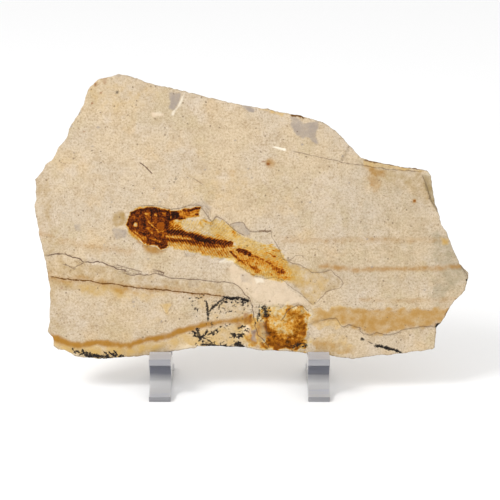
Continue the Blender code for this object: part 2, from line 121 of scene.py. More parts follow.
def grain(x: np.ndarray, y: np.ndarray, size: float, seed: int, octaves: int = 4) -> np.ndarray:
    """Uneven noise: a random lattice blended with 3t^2 - 2t^3, summed over halving sizes and weights.

    Args:
        x: First coordinate, in millimetres.
        y: Second coordinate, in millimetres.
        size: Cell size of the coarsest lattice, in millimetres.
        seed: Seed of the random lattice.
        octaves: How many lattices are summed.

    Returns:
        Noise of roughly -1 to 1.
    """
    lattice = np.random.default_rng(seed).uniform(-1.0, 1.0, (256, 256))
    total = np.zeros(np.broadcast(x, y).shape)
    weight, reach = 1.0, 0.0
    for octave in range(octaves):
        first = x / size * 2 ** octave + 17.3 * octave
        second = y / size * 2 ** octave + 5.1 * octave
        column = np.floor(first).astype(int)
        row = np.floor(second).astype(int)
        right = smooth(0.0, 1.0, first - column)
        up = smooth(0.0, 1.0, second - row)
        near = lattice[column & 255, row & 255] * (1 - right) + lattice[(column + 1) & 255, row & 255] * right
        above = (row + 1) & 255
        far = lattice[column & 255, above] * (1 - right) + lattice[(column + 1) & 255, above] * right
        total += weight * (near * (1 - up) + far * up)
        reach += weight
        weight *= 0.5
    return total / reach * 1.6


def line_distance(u: np.ndarray, v: np.ndarray, line: np.ndarray) -> tuple[np.ndarray, np.ndarray]:
    """Distance to a broken line, the least over its stretches, signed by the side of the nearest one.

    Args:
        u: U of each point.
        v: V of each point.
        line: The line's points, one row each.

    Returns:
        The signed distance in millimetres, and the share of the way along the line.
    """
    best = np.full(u.shape, np.inf)
    signed = np.zeros(u.shape)
    share = np.zeros(u.shape)
    count = len(line) - 1
    for index in range(count):
        (au, av), (bu, bv) = line[index], line[index + 1]
        step_u, step_v = bu - au, bv - av
        length = max(step_u * step_u + step_v * step_v, 1e-9)
        part = np.clip(((u - au) * step_u + (v - av) * step_v) / length, 0.0, 1.0)
        off_u, off_v = u - au - part * step_u, v - av - part * step_v
        distance = np.hypot(off_u, off_v)
        nearer = distance < best
        side = np.where(step_u * off_v - step_v * off_u >= 0, 1.0, -1.0)
        best = np.where(nearer, distance, best)
        signed = np.where(nearer, distance * side, signed)
        share = np.where(nearer, (index + part) / count, share)
    return signed, share


def inside_distance(u: np.ndarray, v: np.ndarray, outline: np.ndarray) -> np.ndarray:
    """Distance to an outline, positive inside, where a ray to the right crosses it an odd number of times.

    Args:
        u: U of each point.
        v: V of each point.
        outline: The outline's points, one row each.

    Returns:
        The distance in millimetres, less than 0 outside.
    """
    closed = np.vstack([outline, outline[:1]])
    distance = np.abs(line_distance(u, v, closed)[0])
    odd = np.zeros(u.shape, bool)
    for (au, av), (bu, bv) in zip(closed[:-1], closed[1:]):
        rise = bv - av if bv != av else 1e-9
        odd ^= ((av > v) != (bv > v)) & (u < (bu - au) * (v - av) / rise + au)
    return np.where(odd, distance, -distance)


def spread_along(line: np.ndarray, count: int) -> np.ndarray:
    """Points at even steps along a broken line.

    Args:
        line: The line's points, one row each.
        count: How many points to give.

    Returns:
        The new points, with both ends kept.
    """
    steps = np.hypot(*np.diff(line, axis=0).T)
    reach = np.concatenate([[0.0], np.cumsum(steps)])
    wanted = np.linspace(0.0, reach[-1], count)
    return np.stack([np.interp(wanted, reach, line[:, axis]) for axis in (0, 1)], axis=1)


def loop_normals(loop: np.ndarray, reach: int) -> np.ndarray:
    """Unit normals out of an anticlockwise loop, each a quarter turn from the chord between its neighbours.

    Args:
        loop: The loop's points, one row each.
        reach: How many steps away the neighbours are.

    Returns:
        One normal for each point.
    """
    chord = np.roll(loop, -reach, axis=0) - np.roll(loop, reach, axis=0)
    chord /= np.maximum(np.hypot(chord[:, 0], chord[:, 1]), 1e-9)[:, None]
    return np.stack([chord[:, 1], -chord[:, 0]], axis=1)


def sheet_faces(rows: int, columns: int, first: int = 0) -> np.ndarray:
    """Quads of a grid of points, anticlockwise when columns run to the right and rows run up.

    Args:
        rows: How many rows of points.
        columns: How many points in a row.
        first: Index of the grid's first point.

    Returns:
        Four indices for each quad.
    """
    index = first + np.arange(rows * columns).reshape(rows, columns)
    corners = [index[:-1, :-1], index[:-1, 1:], index[1:, 1:], index[1:, :-1]]
    return np.stack(corners, axis=-1).reshape(-1, 4)


def rim_of(rows: int, columns: int, first: int = 0) -> np.ndarray:
    """Indices round a grid's rim, anticlockwise from its lower left corner."""
    index = first + np.arange(rows * columns).reshape(rows, columns)
    return np.concatenate([index[0, :-1], index[:-1, -1], index[-1, :0:-1], index[:0:-1, 0]])


@dataclass(frozen=True)
class Stand:
    """How the slab stands in the frame: leaned back about its lower edge, and moved with the whole object."""

    shift_x: float
    shift_y: float
    lean_deg: float = 12.0
    rest_height: float = 17.2

    def place(self, points: np.ndarray) -> np.ndarray:
        """Slab millimetres to the frame's metres: turned up about X by 90 degrees less the lean, then moved.

        Args:
            points: U, V and W, one row for each point.

        Returns:
            X, Y and Z in metres, one row for each point.
        """
        lean = math.radians(self.lean_deg)
        u, v, w = points.T
        y = v * math.sin(lean) - w * math.cos(lean) + self.shift_y
        z = v * math.cos(lean) + w * math.sin(lean) + self.rest_height
        return np.stack([u + self.shift_x, y, z], axis=1) * MM

    def millimetres(self, node: AddNode) -> Socket:
        """The shaded point in slab millimetres: object metres turned back by a Mapping node of texture type.

        Args:
            node: Adds a node to the material.

        Returns:
            The point's U, V and W.
        """
        return node("Mapping", {"vector_type": "TEXTURE"}, {
            "Vector": node("TexCoord", output="Object"),
            "Location": (self.shift_x * MM, self.shift_y * MM, self.rest_height * MM),
            "Rotation": (math.radians(90.0 - self.lean_deg), 0.0, 0.0),
            "Scale": (MM, MM, MM),
        })


@dataclass(frozen=True)
class FaceBlock:
    """Faces with the same number of corners, and a place on the bake sheet for each corner."""

    faces: np.ndarray
    sheet: np.ndarray


def new_piece(name: str, points: np.ndarray, blocks: Sequence[FaceBlock]) -> bpy.types.Object:
    """Makes a mesh object at the origin from whole arrays.

    Args:
        name: The piece's name.
        points: Points in metres, one row each.
        blocks: The piece's faces.

    Returns:
        The new object, linked to the scene.
    """
    mesh = bpy.data.meshes.new(name)
    mesh.vertices.add(len(points))
    mesh.vertices.foreach_set("co", points.astype(np.float32).ravel())
    corners = np.concatenate([block.faces.ravel() for block in blocks])
    sizes = np.concatenate([np.full(len(block.faces), block.faces.shape[1]) for block in blocks])
    mesh.loops.add(len(corners))
    mesh.polygons.add(len(sizes))
    starts = np.concatenate([[0], np.cumsum(sizes)[:-1]])
    mesh.polygons.foreach_set("loop_start", starts.astype(np.int32))
    mesh.polygons.foreach_set("vertices", corners.astype(np.int32))
    mesh.update(calc_edges=True)
    sheet = mesh.uv_layers.new(name="OFBake")
    places = np.concatenate([block.sheet.reshape(-1, 2) for block in blocks])
    sheet.data.foreach_set("uv", places.astype(np.float32).ravel())
    mesh.polygons.foreach_set("use_smooth", np.ones(len(sizes), bool))
    mesh.validate()
    piece = bpy.data.objects.new(name, mesh)
    bpy.context.scene.collection.objects.link(piece)
    return piece


def paint(piece: bpy.types.Object, name: str, values: np.ndarray) -> None:
    """Stores one number for each point of a piece, for its material to read."""
    layer = piece.data.attributes.new(name, "FLOAT", "POINT")
    layer.data.foreach_set("value", values.astype(np.float32).ravel())


def fill_inputs(node: bpy.types.Node, inputs: dict[Any, Any] | Sequence[Any]) -> None:
    """Sets or links a node's inputs.

    Args:
        node: The node.
        inputs: A value, a hex colour, or another node's output to link, for each input by name or in order.
    """
    pairs = inputs.items() if isinstance(inputs, dict) else enumerate(inputs)
    for key, value in pairs:
        if isinstance(value, Socket):
            node.id_data.links.new(value, node.inputs[key])
        else:
            node.inputs[key].default_value = linear(value) if isinstance(value, str) else value


def add_node(
    tree: bpy.types.NodeTree,
    kind: str,
    settings: dict[str, Any] | None = None,
    inputs: dict[Any, Any] | Sequence[Any] = (),
    output: int | str = 0,
) -> Socket:
    """Adds a node with its settings and links, and gives one of its outputs.

    Args:
        tree: The material's node tree.
        kind: The node's type name without its ShaderNode prefix.
        settings: Properties of the node, and under stops the places and hex colours of a colour ramp.
        inputs: What fill_inputs sets or links.
        output: Name or number of the output that is wanted.

    Returns:
        The output.
    """
    made = tree.nodes.new("ShaderNode" + kind)
    for key, value in (settings or {}).items():
        if key != "stops":
            setattr(made, key, value)
            continue
        elements = made.color_ramp.elements
        while len(elements) < len(value):
            elements.new(0.5)
        for element, (place, colour) in zip(elements, value):
            element.position = place
            element.color = linear(colour)
    fill_inputs(made, inputs)
    return made.outputs[output]


def new_material(name: str) -> tuple[bpy.types.Material, AddNode]:
    """A new material, and the function that adds nodes to it.

    Args:
        name: What the real material is, and how its surface was made.

    Returns:
        The material and its own add_node.
    """
    material = bpy.data.materials.new(name)
    material.use_nodes = True
    return material, partial(add_node, material.node_tree)


def finish_surface(material: bpy.types.Material, inputs: dict[str, Any]) -> None:
    """Sets or links the inputs of a material's Principled BSDF."""
    fill_inputs(material.node_tree.nodes["Principled BSDF"], inputs)


# The slab's outline, clockwise from its left tip, in slab millimetres, and its four corners in that list
SLAB_OUTLINE = (
    (-95.5, 78), (-92, 82), (-91, 84), (-88, 86.5), (-85, 91.5), (-81.5, 96.5), (-80.5, 100), (-77.5, 105),
    (-74, 110.5), (-72, 117), (-71, 118.5), (-67, 121.5), (-59, 124), (-50, 122), (-47, 120.5), (-41, 119),
    (-30, 116.5), (-19, 113.5), (-10, 111.5), (7.5, 108.5), (22, 105.5), (32, 102.5), (36, 99), (48, 87),
    (51.5, 86), (65, 83.5), (76.5, 82), (78.5, 79.5), (78.5, 75.5), (80, 67.5), (82, 61.5), (82.5, 59),
    (87, 51), (89.5, 44.5), (91, 41), (96, 36), (95, 33.5), (93.5, 29), (90, 25.5), (86.5, 21),
    (83, 14.5), (81, 12.5), (80.5, 3.5), (79.5, 2.5), (73, 2), (62.5, 0.5), (48, -0.8), (44.5, -1.5),
    (34, 0), (23, 1), (14, 2), (4, 2.3), (-3.5, 3.6), (-16.5, 4.3), (-24.5, 4), (-26, 3),
    (-35, 2), (-46, 0), (-54, -0.7), (-68, -1.5), (-78, -0.6), (-83.5, 2.5), (-86, 2.7), (-88, 4),
    (-88.5, 8), (-90.5, 10.5), (-89.5, 16), (-89.5, 29), (-91, 40), (-92, 46), (-93.5, 51.5), (-94, 55.5),
    (-96, 66.5), (-95, 69.5),
)
TOP_LEFT, TOP_RIGHT, BOTTOM_RIGHT, BOTTOM_LEFT = 11, 27, 42, 62

# Where layers have split away from the front face: depth below the face, and the outline that split away
FRONT_STEPS = {
    "upper_crack": (0.55, (
        (-102, 43.5), (-87, 45), (-82.5, 45), (-74, 41.5), (-68, 42), (-62, 39.5), (-58.5, 37), (-46, 35.5),
        (-43, 36.5), (-36.5, 34.5), (-23, 34), (-16.5, 33), (-9, 32.5), (-6.5, 31), (-3.5, 27), (0, 22),
        (0.5, 15), (2, 9.5), (2.5, -6), (-102, -6),
    )),
    "lower_crack": (0.95, (
        (-102, 35.5), (-87, 35), (-80.5, 33.5), (-71.5, 33), (-63, 32), (-54, 30.5), (-36.5, 29), (-21, 27.5),
        (-12, 25.5), (-4, 25.5), (-2, 24), (-3.5, 16), (-3.8, -7), (-102, -7),
    )),
    "right_peel": (0.8, (
        (20, 12), (26, 15), (32, 16), (36.5, 16.5), (38.5, 14), (40, 12.5), (43, 14), (47, 12.5), (49, 9.5),
        (52, 9), (55, 10), (58, 9), (65, 10.5), (69, 12), (78, 13), (90, 12.5), (90, -6), (20, -6),
    )),
    "top_ledge": (1.0, (
        (38.5, 86), (51.5, 83.5), (60.5, 82), (67, 81.8), (74, 80), (75.5, 77.5), (76.5, 73.5), (78, 69),
        (80, 66), (81, 63.5), (88, 60), (92, 95), (44, 96),
    )),
    "right_chip": (1.2, (
        (90.5, 46), (91.7, 40), (93, 37.5), (94.3, 35.8), (94.6, 33.5), (93.8, 27), (101, 27), (101, 46),
    )),
    "rough_hollow": (0.85, (
        (6.8, 22.2), (17.3, 22.4), (20, 23.3), (23, 21.7), (24.4, 18.2), (24.8, 11.6), (24.4, -5.5),
        (6.4, -5.5), (5.9, 7.2), (5.9, 13.8),
    )),
    "fish_recess": (0.5, (
        (-55.3, 59.7), (-53.5, 64.1), (-50.4, 66.7), (-45.2, 66.7), (-40.8, 66.3), (-36.4, 64.8), (-32, 65.2),
        (-27.6, 66.6), (-22.4, 66.8), (-22.4, 63.7), (-23, 61.5), (-18, 59), (-16, 62), (-13.5, 60.5),
        (-5.5, 54.5), (-1.6, 53.1), (-1.2, 55.3), (8, 55.3), (9.8, 50), (12, 46), (13.8, 42), (17.8, 41),
        (26, 37), (34.5, 37.9), (39.3, 33.7), (39.8, 31), (32, 27.5), (27, 22.6), (23, 26.6), (17.5, 31.8),
        (10.3, 33.6), (4.3, 33.2), (-1.8, 37.2), (-6.2, 41), (-12.2, 42.6), (-18, 43.9), (-25, 45.6),
        (-30, 46.7), (-36.3, 47), (-40.3, 45.3), (-42.9, 47.5), (-48.3, 48.1), (-54, 53.3),
    )),
}
BACK_FLAKE = (
    (-100, 62), (-70, 66), (-48, 58), (-30, 64), (-8, 84), (10, 90), (24, 100), (30, 115), (-100, 130),
)

# Rounded lumps of the rusty concretion: U, V, half width and half height above their seat
LUMPS = (
    (9.4, 19.6, 2.7, 1.0), (14.7, 18.0, 3.5, 1.6), (19.9, 19.8, 2.6, 1.3), (22.3, 15.2, 2.3, 1.4),
    (10.7, 13.4, 4.0, 1.3), (17.4, 12.4, 4.1, 1.8), (22.0, 9.4, 2.7, 1.3), (8.4, 7.6, 2.5, 1.0),
    (13.3, 6.9, 3.6, 1.4), (18.6, 5.9, 3.0, 1.5), (22.6, 5.0, 1.7, 0.9), (-0.8, 11.8, 2.3, 0.9),
    (2.6, 7.4, 2.2, 0.8), (3.2, 14.8, 1.8, 0.9),
)


class Tint(Enum):
    """What a patch on the stone is stained with; one broad olive patch on the right is painted shade."""

    OCHRE = "ochre"
    YELLOW = "yellow"
    GREY = "grey"
    PINK = "pink"
    RUST = "rust"
    BLACK = "black"
    CREAM = "cream"
    OLIVE = "olive"
    TAN = "tan"


# The stains' colours, in the order that they are laid on; the olive one also lays painted shade on the right
STAINS = {
    Tint.OLIVE: "#8E8468",
    Tint.TAN: "#9C7C3E",
    Tint.YELLOW: "#C9A560",
    Tint.OCHRE: "#A27430",
    Tint.PINK: "#D8C3A8",
    Tint.GREY: "#9C9086",
    Tint.CREAM: "#EDE3D0",
    Tint.RUST: "#824A1A",
    Tint.BLACK: "#38302A",
}


@dataclass(frozen=True)
class Patch:
    """A stained area, or one of painted shade: its outline in pixels, its strength, and how soft and ragged
    its edge is in mm.
    """

    tint: Tint
    outline: Route
    strength: float = 1.0
    soft: float = 0.8
    ragged: float = 0.8


@dataclass(frozen=True)
class Spot:
    """A stained spot: its centre and half sizes in pixels, and how strong it is."""

    tint: Tint
    centre: tuple[float, float]
    half: tuple[float, float]
    strength: float = 1.0


@dataclass(frozen=True)
class Stroke:
    """A thin marking along a route in pixels: its half width in millimetres and how strong it is."""

    route: Route
    half_width: float = 0.25
    strength: float = 1.0


# Cracks: dark, hair-thin lines along split layers, partly real cracks and partly painted shade along split
# steps' edges
CRACKS_AND_STEP_SHADE = (
    Stroke(((46, 256.5), (50, 255), (55, 254), (65, 254), (72, 257), (80, 259.5), (84, 262), (92, 262.5),
            (98, 261), (104, 263.5), (112, 267), (120, 269.5), (130, 272)), 0.27, 0.9),
    Stroke(((120, 273), (130, 275), (140, 274.5), (148, 275.5), (155, 274), (165, 276), (170, 278.5),
            (185, 279), (200, 279.5), (215, 282), (225, 282.3), (232, 283), (238, 285.5), (242, 290),
            (245, 295), (250, 300), (252, 306), (254, 315), (254, 322)), 0.22, 0.75),
    Stroke(((116, 264.5), (124, 266.5), (131, 269), (142, 272.5)), 0.2, 0.6),
    Stroke(((152, 270), (158, 271), (164, 274)), 0.25, 0.8),
    Stroke(((62, 264), (67, 266), (72, 269), (80, 265), (84, 262)), 0.2, 0.6),
    Stroke(((290, 151), (303, 154), (315, 157), (335, 161), (341, 162.5), (350, 164.5), (360, 165.5),
            (370, 167), (380, 168.5), (390, 170), (400, 170.5), (425, 172)), 0.2, 0.55),
    Stroke(((421, 175), (424, 181), (427, 190), (430, 200), (435, 207), (437, 213)), 0.25, 0.45),
    Stroke(((461, 266), (464, 271), (467, 275), (468, 280)), 0.25, 0.5),
    Stroke(((320, 321), (325, 320), (330, 319), (336, 318.5), (340, 324), (344, 327.5), (350, 325),
            (355, 327), (360, 328), (361, 331), (364, 334.5), (371, 336), (377, 333), (385, 335.5),
            (395, 334.5), (400, 332), (402, 331), (410, 329), (420, 327.5), (430, 326.5), (436, 328)),
           0.2, 0.55),
    Stroke(((138, 206), (150, 206), (160, 206.5), (170, 209.5), (180, 208.5), (190, 206), (200, 205.5),
            (203, 210), (212, 222.5), (216, 216), (222, 219), (225, 221), (230, 226), (235, 230),
            (240, 233), (246, 236)), 0.2, 0.6),
    Stroke(((229, 224.5), (234, 222.5), (243, 222.5), (246, 227), (250, 231.5), (256, 232.5), (261, 231)),
           0.22, 0.6),
    Stroke(((200, 205.5), (206, 206), (211, 212), (210, 217)), 0.15, 0.35),
    Stroke(((185, 249), (192, 249.5), (197, 252), (194, 257), (187, 256), (184, 252), (185, 249)), 0.15,
           0.35),
    Stroke(((250, 229), (254, 232), (260, 231), (265, 232), (271, 231), (272, 238), (275, 243), (278, 248),
            (281, 254), (283, 259), (286, 260.5), (293, 264), (300, 265), (306, 269), (312, 272.5),
            (320, 272.5), (331, 270), (335, 275), (342, 280), (344, 284), (340, 288), (330, 290.5),
            (325, 294), (320, 299), (314, 306)), 0.18, 0.55),
    Stroke(((286, 260.5), (290, 260), (295, 256), (302, 255.5), (304, 258)), 0.2, 0.5),
    Stroke(((232, 262), (245, 270), (255, 276), (265, 279), (275, 277), (285, 282), (295, 290), (300, 293),
            (310, 303), (313, 306)), 0.18, 0.45),
    Stroke(((139.5, 162.5), (146, 168), (152.5, 173.5)), 0.24, 0.95),
    Stroke(((61, 163), (66, 165)), 0.15, 0.5),
    Stroke(((193, 178), (198, 181), (203, 185)), 0.15, 0.5),
    Stroke(((298, 304.5), (292, 308), (287, 311), (284, 316), (281, 321)), 0.22, 0.7),
    Stroke(((298, 304.5), (304, 307.5), (309, 312)), 0.22, 0.6),
    Stroke(((253.5, 316), (255, 326.5), (258, 335), (265, 342), (270, 349)), 0.22, 0.75),
    Stroke(((262, 320), (266, 326), (267, 334)), 0.18, 0.5),
    Stroke(((160, 305), (163, 312), (166, 315), (170, 309), (173, 305)), 0.15, 0.35),
)

# The brown line along the lower split layer, with its rusty haze
BROWN_LINES = (
    Stroke(((48, 276), (55, 277.5), (62, 279), (70, 280), (80, 280.5), (90, 281), (100, 283.5),
            (110, 283.5), (120, 285.5), (130, 287), (140, 288), (150, 289.5), (160, 289.5), (170, 291),
            (183, 292.5), (195, 294), (205, 294.5), (215, 296), (225, 298)), 0.3, 1.0),
    Stroke(((363, 160.7), (380, 163.5), (400, 167), (429, 171)), 0.3, 0.8),
    Stroke(((290, 115.5), (296, 116.6), (304, 119)), 0.5, 1.0),
    Stroke(((258, 232), (264, 231.3), (271, 231)), 0.5, 0.6),
    Stroke(((457, 299), (451, 307), (445, 316)), 0.3, 0.5),
)

# Black branching mineral growths, and one route of painted shade in a hollow: the routes they follow, and how
# thickly they cover
GROWTHS_AND_HOLLOW_SHADE = (
    Stroke(((192, 297), (195, 305), (196, 313)), 2.2, 0.44),
    Stroke(((198, 297), (214, 302), (216, 312)), 2.0, 0.44),
    Stroke(((212, 306), (222, 311), (240, 308)), 2.0, 0.42),
    Stroke(((224, 301), (234, 302), (244, 303)), 0.8, 0.6),
    Stroke(((250, 304), (253, 315), (252, 326)), 0.9, 0.46),
    Stroke(((192, 334), (200, 338), (206, 333), (214, 334), (219, 328)), 1.2, 0.6),
    Stroke(((197, 330), (200, 340), (203, 346)), 1.2, 0.62),
    Stroke(((224, 327), (214, 328), (208, 324)), 1.5, 0.46),
    Stroke(((232, 336), (238, 338), (244, 335)), 0.9, 0.64),
    Stroke(((238, 329), (242, 327), (248, 331)), 0.8, 0.6),
    Stroke(((196, 345), (206, 347), (220, 346), (232, 347), (244, 346)), 1.2, 0.58),
    Stroke(((238, 345), (243, 347.5)), 1.0, 0.8),
    Stroke(((216, 340), (232, 341)), 2.2, 0.42),
    Stroke(((261, 308), (268, 310), (266, 316)), 1.6, 0.6),
    Stroke(((256, 321), (262, 316), (258, 312)), 1.2, 0.52),
    Stroke(((262, 335), (264, 343), (268, 349)), 1.0, 0.46),
    Stroke(((72, 351), (80, 354), (87, 353)), 1.0, 0.6),
    Stroke(((82, 353), (90, 356.5), (100, 358), (110, 358)), 1.2, 0.72),
    Stroke(((103, 353), (109, 355), (115, 353)), 0.9, 0.6),
    Stroke(((114, 357), (122, 356.5)), 0.8, 0.66),
    # Painted shade: black in a small hollow of the crust
    Stroke(((292, 347), (298, 344.5), (305, 347)), 0.8, 0.62),
    Stroke(((467, 279), (468, 286)), 0.5, 0.7),
)

# The thin black lines of the growths, and a few of painted shade along a small split step, in a notch and in
# a hollow
GROWTH_AND_SHADE_LINES = (
    Stroke(((206, 301), (207, 308), (207.3, 314), (208, 322)), 0.5, 0.95),
    Stroke(((207.5, 312.5), (211, 309.5), (215, 306), (219, 302), (223, 299.5)), 0.5, 0.95),
    Stroke(((221, 300), (225, 298.5), (229, 299), (234, 298.5), (240, 299), (244, 300.5), (249, 303)), 0.8,
           1.0),
    Stroke(((240, 299.5), (244, 300.5), (249, 302.5)), 1.15, 1.0),
    Stroke(((224, 300), (221, 304), (218, 308)), 0.35, 0.8),
    Stroke(((192, 337), (197, 337), (202, 338), (207, 341), (213, 344)), 0.4, 0.9),
    Stroke(((198, 332), (199, 337), (200, 342)), 0.45, 0.9),
    Stroke(((207, 336), (212, 334), (218, 329)), 0.4, 0.85),
    Stroke(((230, 334), (235, 335.5), (240, 335), (245, 335)), 0.45, 0.95),
    Stroke(((237, 329), (242, 326.5), (246, 327)), 0.4, 0.9),
    Stroke(((200, 345.5), (210, 345.5), (220, 347), (232, 347)), 0.4, 0.85),
    Stroke(((264, 307.5), (266, 311), (264.5, 318)), 0.9, 0.8),
    Stroke(((260, 310), (258, 316), (257, 322)), 0.35, 0.7),
    # Painted shade: black lines along a small split step, in a notch of the edge and in a small hollow of the
    # crust
    Stroke(((361.5, 339.5), (365, 341)), 0.6, 0.95),
    Stroke(((368, 342.5), (374, 344.5)), 0.25, 0.7),
    Stroke(((375, 345.5), (383, 347.5), (392, 350), (403, 353.5)), 0.7, 1.0),
    Stroke(((436, 328.5), (438, 326), (441.5, 324)), 0.9, 1.0),
    Stroke(((296, 347.5), (300, 344.5), (305, 344), (308, 347)), 0.4, 0.8),
    Stroke(((84, 354), (92, 356), (100, 357.5), (108, 358)), 0.6, 0.8),
)

OCHRE_BAND_LOW = (
    (50, 337), (58, 341), (70, 345), (80, 346), (95, 343), (105, 344), (120, 346), (130, 345.5), (140, 342),
    (150, 340), (160, 338.5), (170, 336), (180, 332), (190, 329.5), (200, 326.5), (210, 324.5),
    (220, 322.5), (235, 321), (245, 320),
)
OCHRE_BAND_RIGHT = (
    (320, 266), (340, 268), (355, 270), (375, 269), (400, 269), (440, 268), (460, 266),
)
FAINT_BAND_UPPER = ((280, 239), (320, 241), (380, 240), (450, 240))
FAINT_BAND_LOWER = ((360, 300), (400, 301), (460, 299))
FAINT_BAND_LEFT = ((42, 233), (60, 240), (80, 245), (100, 248), (130, 252))

# Stained bands along the bedding: route in pixels, half width in millimetres, and strength
BANDS = (
    (OCHRE_BAND_LOW, 1.6, 0.95),
    (OCHRE_BAND_RIGHT, 1.5, 0.55),
    (FAINT_BAND_UPPER, 1.8, 0.3),
    (FAINT_BAND_LOWER, 1.3, 0.3),
    (FAINT_BAND_LEFT, 2.2, 0.3),
)

